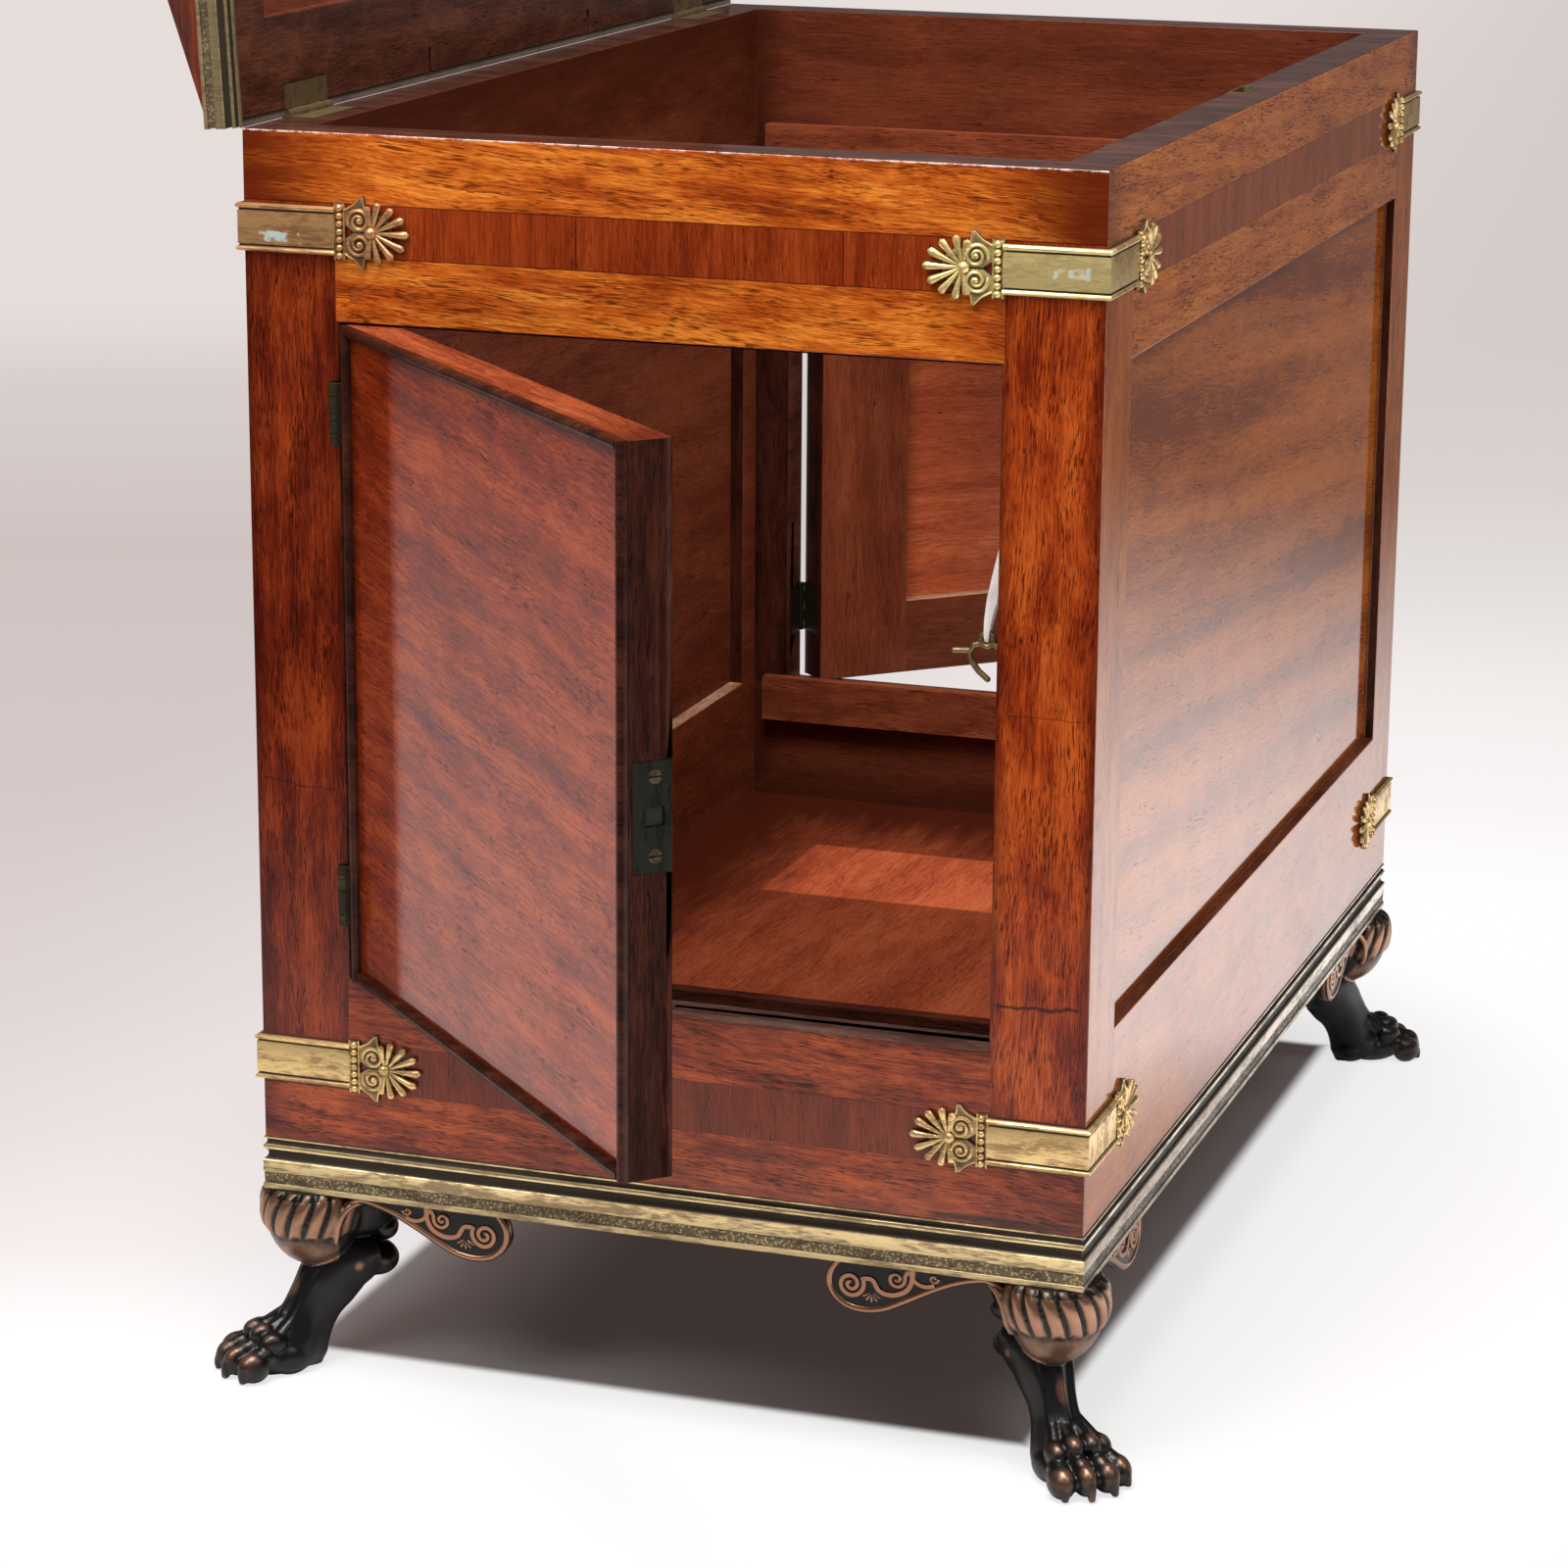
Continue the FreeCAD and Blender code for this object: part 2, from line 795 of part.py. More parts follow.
# ---- lid ----------------------------------------------------------------------------
def lid_panel_space():
    """Room of the flat panel under the lid, tongues included."""
    low = moulding_back
    x = (low + lid_long_rail - panel_tongue, case_width - low - lid_long_rail + panel_tongue)
    y = (low + lid_end_rail - panel_tongue, case_depth - low - lid_end_rail + panel_tongue)
    bottom = lid_under + lid_panel_recess
    return block(x, y, (bottom, bottom + lid_panel_thickness))


def link_plate_space():
    """Room of the link plate in the lid's right rail."""
    x = about(staple_middle_x(), link_plate_width)
    return block(x, about(half_depth, link_plate_length), (lid_under, lid_under + link_plate_thickness))


def lid_frame():
    """Two long rails and two end rails under the lid."""
    low = moulding_back
    x = (low, case_width - low)
    y = (low, case_depth - low)
    z = (lid_under, lid_under + lid_edge)
    inner_y = (y[0] + lid_end_rail, y[1] - lid_end_rail)
    panel = lid_panel_space()
    left = block((x[0], x[0] + lid_long_rail), inner_y, z).cut(panel)
    front = block(x, (y[0], inner_y[0]), z).cut(panel)
    right = mirrored_x(left).cut(link_plate_space())
    pieces = [lid_hinge_cut(left), right, lid_hinge_cut(front), lid_hinge_cut(mirrored_y(front))]
    for offset in lid_scoops_from_middle:
        scoop_y = about(half_depth + offset, lid_scoop_width)
        scoop_z = (lid_under - 1, lid_under + lid_scoop_depth)
        pieces[0] = pieces[0].cut(block((low - 1, low + lid_scoop_reach), scoop_y, scoop_z))
    return pieces


def lid_hinge_cut(shape):
    """Lid piece with the room for both lid hinges taken out."""
    for span in lid_hinge_spans():
        leaf = block((-5, lid_leaf_reach), span, (lid_under - 1, lid_under + leaf_thickness))
        shape = shape.cut(leaf).cut(lid_relief(span))
    return shape


def frustum(inset, run, rise, level):
    """Hipped block over the lid, inset from its outer edge at its foot."""
    rings = []
    for extra, z in ((0, level), (run, level + rise)):
        low = inset + extra - moulding_proud
        high_x = case_width - low
        high_y = case_depth - low
        corners = [Vec(low, low, z), Vec(high_x, low, z), Vec(high_x, high_y, z), Vec(low, high_y, z)]
        rings.append(Part.makePolygon(corners + corners[:1]))
    return Part.makeLoft(rings, True, True)


def lid_top():
    """Hipped top of the lid, hollow inside."""
    slope = math.tan(math.radians(lid_slope_angle))
    level = lid_under + lid_edge
    rise = lid_slope_run * slope
    outside = frustum(lid_slope_start, lid_slope_run, rise, level)
    inside_start = lid_slope_start + lid_board / math.sin(math.radians(lid_slope_angle))
    inside_run = (rise - lid_board) / slope
    inside = frustum(inside_start, inside_run, rise - lid_board, level)
    return outside.cut(inside)


def lid_moulding():
    """Brass moulding round the edge of the lid, its bead towards the case."""
    pieces = []
    for piece in moulding_ring(lid_edge):
        upside_down = piece.mirror(Vec(0, 0, lid_edge / 2), UP)
        upside_down.translate(Vec(0, 0, lid_under))
        pieces.append(lid_hinge_cut(upside_down))
    return pieces


# ---- lid lock -----------------------------------------------------------------------
def staple_middle_x():
    """Middle of the staple, which drops into the lock in the right rail."""
    return right_inside + lid_lock_thickness / 2


def lid_bolt_section(extra):
    """x and z of the lid lock's bolt, larger by extra all round."""
    side = lid_bolt_side + 2 * extra
    bottom = lid_under - staple_reach + staple_floor + lid_bolt_eye_gap
    return about(staple_middle_x(), side), about(bottom + lid_bolt_side / 2, side)


def lid_staple():
    """Link plate of the closed lid, with the staple that drops into the lock."""
    x = about(staple_middle_x(), staple_width)
    y = about(half_depth, staple_thickness)
    loop = block(x, y, (lid_under - staple_reach, lid_under + link_plate_thickness))
    eye_x, eye_z = lid_bolt_section(lid_bolt_eye_gap)
    return fused([link_plate_space(), loop]).cut(block(eye_x, (y[0] - 1, y[1] + 1), eye_z))


def lid_bolt_y():
    """(low, high) y of the drawn-back bolt of the lid lock."""
    end = half_depth - staple_thickness / 2 - staple_end_gap
    return (end - lid_bolt_length, end)


def lid_bolt():
    """Bolt of the lid lock, a square bar that slides along y through the staple's eye."""
    x, z = lid_bolt_section(0)
    return block(x, lid_bolt_y(), z)


def lid_lock():
    """Lid lock in the right rail, slotted at its top for the staple."""
    x, z = lid_bolt_section(bolt_clearance)
    channel = block(x, (lid_bolt_y()[0] - 0.5, half_depth), z)
    slot_x = about(staple_middle_x(), staple_width + 2 * staple_side_gap)
    slot_z = (lid_under - staple_reach - staple_end_gap, case_height + 1)
    slot = block(slot_x, about(half_depth, lid_lock_slot), slot_z)
    return lid_lock_space().cut(channel).cut(slot)


# ---- feet ---------------------------------------------------------------------------
def ring_section(centre, reach, half, z, lobes=0, depth=0.0):
    """Closed smooth ring at height z, long by reach and wide by half, with lobes."""
    count = 48 if not lobes else 6 * lobes
    points = []
    for number in range(count):
        turn = 2 * math.pi * number / count
        grow = depth * (abs(math.cos(lobes * turn / 2)) - 0.64) if lobes else 0.0
        x = centre + (reach + grow) * math.cos(turn)
        y = (half + grow) * math.sin(turn)
        points.append(Vec(x, y, z))
    curve = Part.BSplineCurve()
    curve.interpolate(points, PeriodicFlag=True)
    return Part.Wire(curve.toShape())


def leg_shape():
    """Leg from the case down to the sole, along +x before it is turned to its corner."""
    stations = [
        (-42, 21, 16, 0),
        (-43, 22, 16, -18),
        (-43.5, 22.5, 15.5, -34),
        (-41, 23.5, 14.5, -45),
        (-33, 20.5, 13.5, -54),
        (-24, 17.5, 12.5, -63),
        (-17, 16.5, 13, -71),
        (-11, 17, paw_width, -80),
        (-8, 17, paw_width, -87),
        (-7, 15, paw_width - 2, -foot_height),
    ]
    rings = [ring_section(*station) for station in stations]
    return Part.makeLoft(rings, True, True)


def cup_shape():
    """Gadrooned cup at the head of the foot: ribs above, a smooth bowl below."""
    stations = [
        (0.86, 0, 1.0),
        (0.97, -4, 1.0),
        (1.0, -10, 1.0),
        (0.98, -17, 1.0),
        (0.93, -24, 0.5),
        (0.87, -28, 0.0),
        (0.75, -34, 0.0),
        (0.53, -40, 0.0),
        (0.25, -44, 0.0),
    ]
    rings = []
    for share, z, ribs in stations:
        radius = cup_radius * share
        depth = cup_rib_depth * ribs
        rings.append(ring_section(cup_middle, radius, radius, z, cup_rib_count, depth))
    return Part.makeLoft(rings, True, True)


def toes():
    """Toes with a knuckle and a pad each, and a claw at the tip."""
    shapes = []
    for number in range(toe_count):
        share = 2 * number / (toe_count - 1) - 1
        side = share * (paw_width - toe_radius + 3)
        knuckle = Vec(0.5 - 1.5 * abs(share), side * 0.8, -70)
        tip_x = 21.5 - 3.5 * share ** 2
        tip = Vec(tip_x, side * 1.15, toe_radius - 0.2 - foot_height)
        way = tip - knuckle
        shapes.append(Part.makeSphere(toe_radius, knuckle))
        shapes.append(rod(knuckle, way, toe_radius * 0.92, way.Length))
        shapes.append(Part.makeSphere(toe_radius, tip))
        claw_start = tip + Vec(toe_radius * 0.5, 0, -1.0)
        shapes.append(Part.makeCone(2.4, 0.9, 6.2, claw_start, Vec(1, 0.15 * share, -0.55)))
    return shapes


def flange():
    """Plate at the head of the foot that is screwed to the base frame."""
    side = (flange_inset, flange_inset + flange_side)
    plate = block(side, side, (-flange_thickness, 0))
    for x, y in foot_screw_places():
        start = Vec(x, y, -flange_thickness)
        plate = plate.cut(screw_cut(start, UP, foot_screw_length))
    return plate


def paw_foot():
    """Cast foot at the front left corner, its toes pointing out of the corner."""
    below = block((-200, 200), (-200, 200), (-foot_height - 50, -foot_height))
    casting = leg_shape().fuse([cup_shape()] + toes()).cut(below)
    casting = turned(casting, ORIGIN, UP, -135)
    return casting.fuse(flange())


# ---- scroll brackets ----------------------------------------------------------------
def scroll_bracket():
    """Scrolled bracket beside the front left foot, along the front of the case."""
    start = bracket_start
    under = [
        Vec(start, 0, -4.5),
        Vec(start + 6, 0, -4.6),
        Vec(start + 17, 0, -7.8),
        Vec(start + 29, 0, -13.5),
        Vec(start + 40, 0, -19.5),
        Vec(start + 50, 0, -24.5),
        Vec(start + 60, 0, -26.4),
        Vec(start + 69, 0, -24.5),
        Vec(start + 75.5, 0, -19.5),
        Vec(start + 78.5, 0, -13.0),
        Vec(start + 77.5, 0, -6.0),
        Vec(start + 74, 0, 0),
    ]
    curve = Part.BSplineCurve()
    curve.interpolate(under)
    edges = [
        curve.toShape(),
        Part.makeLine(under[-1], Vec(start, 0, 0)),
        Part.makeLine(Vec(start, 0, 0), under[0]),
    ]
    back = flange_inset
    plate = Part.Face(Part.Wire(edges)).extrude(Vec(0, bracket_thickness, 0))
    plate.translate(Vec(0, back - bracket_thickness, 0))
    front = back - bracket_thickness
    rings = [(64.5, -14.0, 6.2), (42.5, -9.3, 4.2)]
    for along, level, radius in rings:
        middle = Vec(start + along, front, level)
        ring = Part.makeTorus(radius, 1.1, middle, ALONG)
        plate = plate.fuse(ring)
    return plate


def brackets_front_left():
    """The front left foot's two brackets, along the front and along the side."""
    front = scroll_bracket()
    return [front, front.mirror(ORIGIN, Vec(1, -1, 0))]


# ---- key, ribbon and tack -----------------------------------------------------------
def key():
    """Brass key that hangs by the eye in the top of its scrolled bow."""
    eye = Part.makeTorus(3.0, key_arm, key_eye, ALONG)
    shapes = [eye]

    def arm(points, radius):
        for first, second in zip(points[:-1], points[1:]):
            start = key_eye + Vec(first[0], 0, first[1])
            way = Vec(second[0] - first[0], 0, second[1] - first[1])
            shapes.append(rod(start, way, radius, way.Length))
            shapes.append(Part.makeSphere(radius, start + way))

    arm([(-2.6, -1.6), (-6.0, -2.8), (-8.2, -6.2), (-7.4, -10.0), (-3.8, -14.6), (0.4, -18.0)], key_arm)
    arm([(-7.6, -5.4), (-15.4, -5.9)], key_arm)
    arm([(2.6, -1.6), (6.0, -3.6), (8.4, -7.0)], key_arm)
    arm([(6.5, -5.0), (31.0, -22.0)], key_arm + 0.7)
    joined = shapes[0].fuse(shapes[1:])
    bit_corner = key_eye + Vec(26.0, -key_thickness / 2, -25.0)
    bit = Part.makeBox(4.0, key_thickness, 8.5, bit_corner)
    return joined.fuse(bit)


def ribbon():
    """Ribbon folded through the eye of the key, both ends held by the tack."""
    half = ribbon_width / 2
    low = key_eye.z - ribbon_fold_half
    bend_x = key_eye.x + 0.5
    bend_z = key_eye.z + 8.0
    outline = [
        (tack_place.x - half, tack_place.z + half),
        (tack_place.x + half, tack_place.z + half),
        (tack_place.x + half, tack_place.z - half),
        (bend_x + half, bend_z),
        (key_eye.x + ribbon_fold_half, low),
        (key_eye.x - ribbon_fold_half, low),
        (bend_x - half, bend_z),
        (tack_place.x - half, tack_place.z - half),
    ]
    front, back = ribbon_layers()
    fold_x = (key_eye.x - ribbon_fold_half, key_eye.x + ribbon_fold_half)
    fold = block(fold_x, (front[0], back[1]), (low, low + ribbon_thickness))
    pin_hole = rod(tack_place, ALONG, tack_pin_radius + 0.3, back[1] - wall)
    return fused([plate_xz(outline, front), plate_xz(outline, back), fold]).cut(pin_hole)


def ribbon_layers():
    """(low, high) y of the ribbon's two layers, before and behind the key."""
    reach = key_arm + 0.3
    front = (key_eye.y - reach - ribbon_thickness, key_eye.y - reach)
    back = (key_eye.y + reach, key_eye.y + reach + ribbon_thickness)
    return front, back


def tack():
    """Round-headed brass tack in the inner face of the front right post."""
    head_y = ribbon_layers()[1][1]
    pin = rod(tack_place, ALONG, tack_pin_radius, head_y - wall)
    head = rod(Vec(tack_place.x, head_y, tack_place.z), ALONG, tack_radius, 1.2)
    return fused([pin, head])


# ---- the whole ----------------------------------------------------------------------
def at_both_ends(shapes):
    """Shapes at the front end of the case with their copies at the back end."""
    return shapes + [mirrored_y(shape) for shape in shapes]


def ajar_front(shapes):
    """Pieces of the front door, swung out to where it stands ajar."""
    return [turned(shape, front_axis, UP, -front_door_angle) for shape in shapes]


def ajar_back(shapes):
    """Pieces of the back door, made from the front door's and swung out."""
    return [turned(mirrored_y(shape), back_axis, UP, back_door_angle) for shape in shapes]


def raised(shapes):
    """Pieces of the lid, thrown back past upright."""
    return [turned(shape, lid_axis, ALONG, -lid_open_angle) for shape in shapes]


def case_nodes():
    """Nodes of the case itself, without lid, doors and bolts."""
    left_post = left_front_post()
    right_post = right_front_post()
    top_rail = end_rail((door_opening_top, case_height))
    bottom_rail = end_rail((base_moulding_height, door_opening_bottom))
    left_bottom = side_rail((base_moulding_height, side_opening_bottom))
    battens = stop_battens()
    foot = paw_foot()
    feet = four_corners(foot)
    hinges = [case_door_hinge(middle) for middle in door_hinge_heights()]
    spans = lid_hinge_spans()
    brackets = [copy for bracket in brackets_front_left() for copy in four_corners(bracket)]
    foot_screws = [copy for one in foot_screws_front_left() for copy in four_corners(one)]
    return {
        "post_front_left": [left_post],
        "post_front_right": [right_post],
        "post_back_left": [mirrored_y(left_post)],
        "post_back_right": [mirrored_y(right_post)],
        "front_top_rail": [top_rail],
        "front_bottom_rail": [bottom_rail],
        "back_top_rail": [mirrored_y(top_rail)],
        "back_bottom_rail": [mirrored_y(bottom_rail)],
        "left_top_rail": [left_top_rail()],
        "left_bottom_rail": [left_bottom],
        "right_top_rail": [right_top_rail()],
        "right_bottom_rail": [mirrored_x(left_bottom)],
        "left_panel": [side_panel()],
        "right_panel": [mirrored_x(side_panel())],
        "bottom_board": [bottom_board()],
        "front_stop_battens": battens,
        "back_stop_battens": [mirrored_y(batten) for batten in battens],
        "base_frame": base_frame(),
        "base_moulding": moulding_ring(base_moulding_height),
        "upper_corner_mounts": four_corners(corner_mount(mount_upper_z)),
        "lower_corner_mounts": four_corners(corner_mount(mount_lower_z)),
        "paw_foot_front_left": [feet[0]],
        "paw_foot_front_right": [feet[1]],
        "paw_foot_back_left": [feet[2]],
        "paw_foot_back_right": [feet[3]],
        "scroll_brackets": brackets,
        "foot_screws": foot_screws,
        "door_hinges_case_side": at_both_ends(hinges),
        "door_hinge_pins": at_both_ends(door_hinge_pins()),
        "strike_plates": at_both_ends([strike_plate()]),
        "lid_hinges_case_side": [lid_hinge(span, False) for span in spans],
        "lid_hinge_pins": [lid_hinge_pin(span) for span in spans],
        "lid_lock": [lid_lock()],
        "lid_lock_bolt": [lid_bolt()],
        "key": [key()],
        "key_ribbon": [ribbon()],
        "key_tack": [tack()],
    }


def lid_nodes():
    """Nodes of the open lid."""
    closed = {
        "lid_frame": lid_frame(),
        "lid_panel": [lid_panel_space()],
        "lid_top": [lid_top()],
        "lid_moulding": lid_moulding(),
        "lid_hinges_lid_side": [lid_hinge(span, True) for span in lid_hinge_spans()],
        "lid_staple": [lid_staple()],
    }
    return {name: raised(shapes) for name, shapes in closed.items()}


def door_nodes(end, swing):
    """Nodes of one door, swung open by the given function."""
    leaves = [door_hinge_leaf(middle) for middle in door_hinge_heights()]
    closed = {
        "door_frame": door_frame(),
        "door_panel": [door_panel()],
        "door_beads": door_beads(),
        "door_lock": [door_lock()],
        "door_bolt": [door_bolt()],
        "door_lock_screws": lock_screws(),
        "door_hinges": leaves,
    }
    return {end + "_" + name: swing(shapes) for name, shapes in closed.items()}


def all_nodes():
    """Every node of the part, in the case frame."""
    nodes = case_nodes()
    nodes.update(lid_nodes())
    nodes.update(door_nodes("front", ajar_front))
    nodes.update(door_nodes("back", ajar_back))
    return nodes


def write_steps():
    """Move every node to the part's own frame and write one STEP file for each."""
    os.makedirs("parts", exist_ok=True)
    to_floor = Vec(-half_width, -half_depth, foot_height)
    for name, shapes in all_nodes().items():
        placed = [shape.copy() for shape in shapes]
        for shape in placed:
            shape.translate(to_floor)
        whole = placed[0] if len(placed) == 1 else Part.makeCompound(placed)
        whole.exportStep("parts/" + name + ".step")
        valid = all(shape.isValid() for shape in placed)
        solids = len(whole.Solids)
        print(f"{name:26s} solids {solids:2d}  volume {whole.Volume / 1000:9.2f} cm3  valid {valid}")


write_steps()
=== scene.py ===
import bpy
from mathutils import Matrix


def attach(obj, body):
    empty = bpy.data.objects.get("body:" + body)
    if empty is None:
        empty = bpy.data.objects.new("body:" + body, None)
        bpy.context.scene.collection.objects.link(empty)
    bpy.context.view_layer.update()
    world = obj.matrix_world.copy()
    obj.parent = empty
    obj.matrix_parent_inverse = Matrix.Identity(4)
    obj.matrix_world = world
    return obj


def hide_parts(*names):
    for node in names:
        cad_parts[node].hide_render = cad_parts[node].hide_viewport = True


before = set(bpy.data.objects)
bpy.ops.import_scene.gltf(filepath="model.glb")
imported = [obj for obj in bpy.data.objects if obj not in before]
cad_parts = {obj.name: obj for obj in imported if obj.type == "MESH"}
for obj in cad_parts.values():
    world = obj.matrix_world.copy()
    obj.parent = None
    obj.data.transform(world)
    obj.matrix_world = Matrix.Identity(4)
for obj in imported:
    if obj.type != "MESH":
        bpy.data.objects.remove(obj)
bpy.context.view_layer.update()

import logging
import math
from dataclasses import dataclass, field
from enum import Enum
from functools import reduce
from itertools import product
from typing import Callable, Iterable, Sequence

import bmesh
import bpy
import numpy as np
from mathutils import Euler, Matrix, Vector

log = logging.getLogger("cellarette")
logging.basicConfig(level=logging.INFO, format="%(name)s: %(message)s")

Array = np.ndarray
Colour = tuple[float, float, float]
Span = tuple[float, float]
Point = tuple[float, float, float]
Shades = tuple[Colour, Colour, Colour]
Material = bpy.types.Material
Socket = bpy.types.NodeSocket

# The case frame, in millimetres: x across the front door, y from front to back, z up from
# the underside of the brass base moulding, origin at the front left corner.
WIDTH, DEPTH, HEIGHT, FOOT = 406.0, 660.0, 508.0, 92.0
CASE_ORIGIN = np.array([-WIDTH / 2, -DEPTH / 2, FOOT])
MM = 0.001
# Where each end of the case lies along x and along y, and which way is inwards from there.
ENDS_X, ENDS_Y = ((0.0, 1.0), (WIDTH, -1.0)), ((0.0, 1.0), (DEPTH, -1.0))


class Body(Enum):
    """The moving bodies that pieces ride on."""

    CASE = "case"
    FRONT_DOOR = "front_door"
    BACK_DOOR = "back_door"
    LID = "lid"


class Slot(Enum):
    """The record's material slots, passed with each piece but not used."""

    MAHOGANY = "mahogany"
    INSIDE = "mahogany_inside"
    BRASS = "brass"
    PAW = "patinated_bronze"
    SCROLL = "bronze_scrolls"
    RIBBON = "ribbon"


def to_row(points: Array) -> Array:
    """Turns case millimetres into metres on the floor, midway between the feet.

    Args:
        points: any array whose last axis is x, y, z in the case frame.

    Returns:
        The same points: add the case's origin, then divide by a thousand.
    """
    return (np.asarray(points, float) + CASE_ORIGIN) * MM


# ---- turns ----
@dataclass(frozen=True)
class Swing:
    """A turn about one line, by which a door or the lid stands open."""

    pivot: Point = (0.0, 0.0, 0.0)
    axis: str = "Z"
    degrees: float = 0.0

    def matrix(self) -> Matrix:
        """The turn as a matrix on case millimetres."""
        pivot = Vector(self.pivot)
        turn = Matrix.Rotation(math.radians(self.degrees), 4, self.axis)
        return Matrix.Translation(pivot) @ turn @ Matrix.Translation(-pivot)

    def apply(self, points: Array) -> Array:
        """The points after the turn."""
        m = np.array(self.matrix())
        return np.asarray(points, float) @ m[:3, :3].T + m[:3, 3]

    def closed_frame(self) -> tuple[Vector, Euler]:
        """Location and rotation of a Mapping node from row metres, scaled by 1000, to closed case millimetres."""
        back = self.matrix().inverted() @ Matrix.Translation(Vector(-CASE_ORIGIN))
        return back.to_translation(), back.to_euler("XYZ")


CLOSED = Swing()
FRONT_AJAR = Swing((44.5, -1.5, 0.0), "Z", -45.0)
BACK_AJAR = Swing((44.5, 661.5, 0.0), "Z", 44.0)
RAISED = Swing((0.0, 0.0, 508.4), "Y", -93.1)


# ---- surfaces ----
@dataclass
class Form:
    """Gathers surfaces, worked out as whole arrays in case millimetres, into one mesh.

    Each point carries a relief value: 0 deep in a groove, 1 on a proud, rubbed place.
    Each face carries a mark, the index of its finish.
    """

    points: list[Array] = field(default_factory=list)
    reliefs: list[Array] = field(default_factory=list)
    faces: list[list[int]] = field(default_factory=list)
    marks: list[int] = field(default_factory=list)
    count: int = 0

    def add(self, points: Array, faces: Array, mark: int | Array = 0, relief: Array | float = 1.0) -> None:
        """Adds points and the faces between them.

        Args:
            points: (n, 3) array.
            faces: (k, 3) or (k, 4) array of indices into points.
            mark: the finish of the faces, one or one each.
            relief: the relief of the points, one or one each.
        """
        points = np.asarray(points, float).reshape(-1, 3)
        self.points.append(points)
        self.reliefs.append(np.broadcast_to(np.asarray(relief, float).reshape(-1), (len(points),)).copy())
        self.faces += (np.asarray(faces) + self.count).tolist()
        self.marks += np.broadcast_to(mark, (len(faces),)).tolist()
        self.count += len(points)

    def grid(
        self,
        points: Array,
        closed_u: bool = False,
        closed_v: bool = False,
        mark: int = 0,
        relief: Array | float = 1.0,
    ) -> None:
        """Adds a grid of quads: point (i, j) joins (i + 1, j), (i + 1, j + 1) and (i, j + 1).

        Args:
            points: (m, n, 3) array.
            closed_u: whether the last row joins the first.
            closed_v: whether the last column joins the first.
            mark: the finish of the faces.
            relief: the relief of the points, one or many.
        """
        m, n = points.shape[:2]
        i = np.arange(m if closed_u else m - 1)[:, None]
        j = np.arange(n if closed_v else n - 1)[None, :]
        i2, j2 = (i + 1) % m, (j + 1) % n
        quads = np.stack([i * n + j, i2 * n + j, i2 * n + j2, i * n + j2], -1).reshape(-1, 4)
        if np.ndim(relief):
            relief = np.broadcast_to(relief, (m, n)).reshape(-1)
        self.add(points.reshape(-1, 3), quads, mark, relief)

    def tube(self, rings: Array, mark: int = 0, relief: Array | float = 1.0) -> None:
        """Adds a closed tube, with both ends drawn to their ring's middle.

        Args:
            rings: (m, n, 3) array.
            mark: the finish of the faces.
            relief: the relief of the points, one or many.
        """
        ends = [np.broadcast_to(rings[k].mean(0), (1,) + rings.shape[1:]) for k in (0, -1)]
        if np.ndim(relief):
            relief = np.broadcast_to(relief, rings.shape[:2])
            relief = np.concatenate([relief[:1], relief, relief[-1:]])
        self.grid(np.concatenate([ends[0], rings, ends[1]]), closed_v=True, mark=mark, relief=relief)

    def join(self, other: "Form", axes: Sequence[int], signs: Point, start: Point) -> None:
        """Adds a copy of another form: its axes in another order, times signs, plus start.

        Args:
            other: the form to copy.
            axes: which of its axes becomes x, y and z.
            signs: 1 or -1 for each.
            start: where its origin goes.
        """
        first = self.count
        self.points += [points[:, axes] * signs + start for points in other.points]
        self.reliefs += other.reliefs
        self.faces += [[k + first for k in face] for face in other.faces]
        self.marks += other.marks
        self.count += other.count


def read(items: Iterable, name: str, width: int = 3, kind: type = float) -> Array:
    """One value of each of a mesh's points or edges.

    Args:
        items: the mesh's own list of them.
        name: the value's name.
        width: how many numbers it has.
        kind: float or int.

    Returns:
        One row for each item.
    """
    values = np.zeros(len(items) * width, kind)
    items.foreach_get(name, values)
    return values.reshape(-1, width)


def tidy_mesh(mesh: bpy.types.Mesh, recalculate: bool) -> None:
    """Merges doubles, drops faces without area and turns the faces of closed shells outwards."""
    bm = bmesh.new()
    bm.from_mesh(mesh)
    bmesh.ops.remove_doubles(bm, verts=bm.verts, dist=2e-6)
    bmesh.ops.dissolve_degenerate(bm, edges=bm.edges, dist=1e-6)
    if recalculate:
        bmesh.ops.recalc_face_normals(bm, faces=bm.faces)
    bm.to_mesh(mesh)
    bm.free()


def make_mesh(
    name: str, form: Form, swing: Swing = CLOSED, recalculate: bool = True, sharp: float = 40.0
) -> bpy.types.Mesh:
    """Makes a mesh in row metres from a form in case millimetres.

    Args:
        name: the mesh's name.
        form: the gathered surfaces.
        swing: the turn from the closed to the open place.
        recalculate: whether the faces are turned outwards.
        sharp: edges sharper than this many degrees stay sharp.

    Returns:
        The mesh, with its "relief" attribute.
    """
    mesh = bpy.data.meshes.new(name)
    points = to_row(swing.apply(np.concatenate(form.points)))
    mesh.from_pydata(points.tolist(), [], form.faces)
    mesh.polygons.foreach_set("material_index", np.array(form.marks, np.int32))
    relief = mesh.attributes.new("relief", "FLOAT", "POINT")
    relief.data.foreach_set("value", np.concatenate(form.reliefs).astype(np.float32))
    tidy_mesh(mesh, recalculate)
    mesh.polygons.foreach_set("use_smooth", np.ones(len(mesh.polygons), bool))
    mesh.set_sharp_from_angle(angle=math.radians(sharp))
    mesh.update()
    return mesh


def placed(name: str, data: bpy.types.ID) -> bpy.types.Object:
    """A new object in the scene, round a mesh, a camera or a lamp."""
    thing = bpy.data.objects.new(name, data)
    bpy.context.scene.collection.objects.link(thing)
    return thing


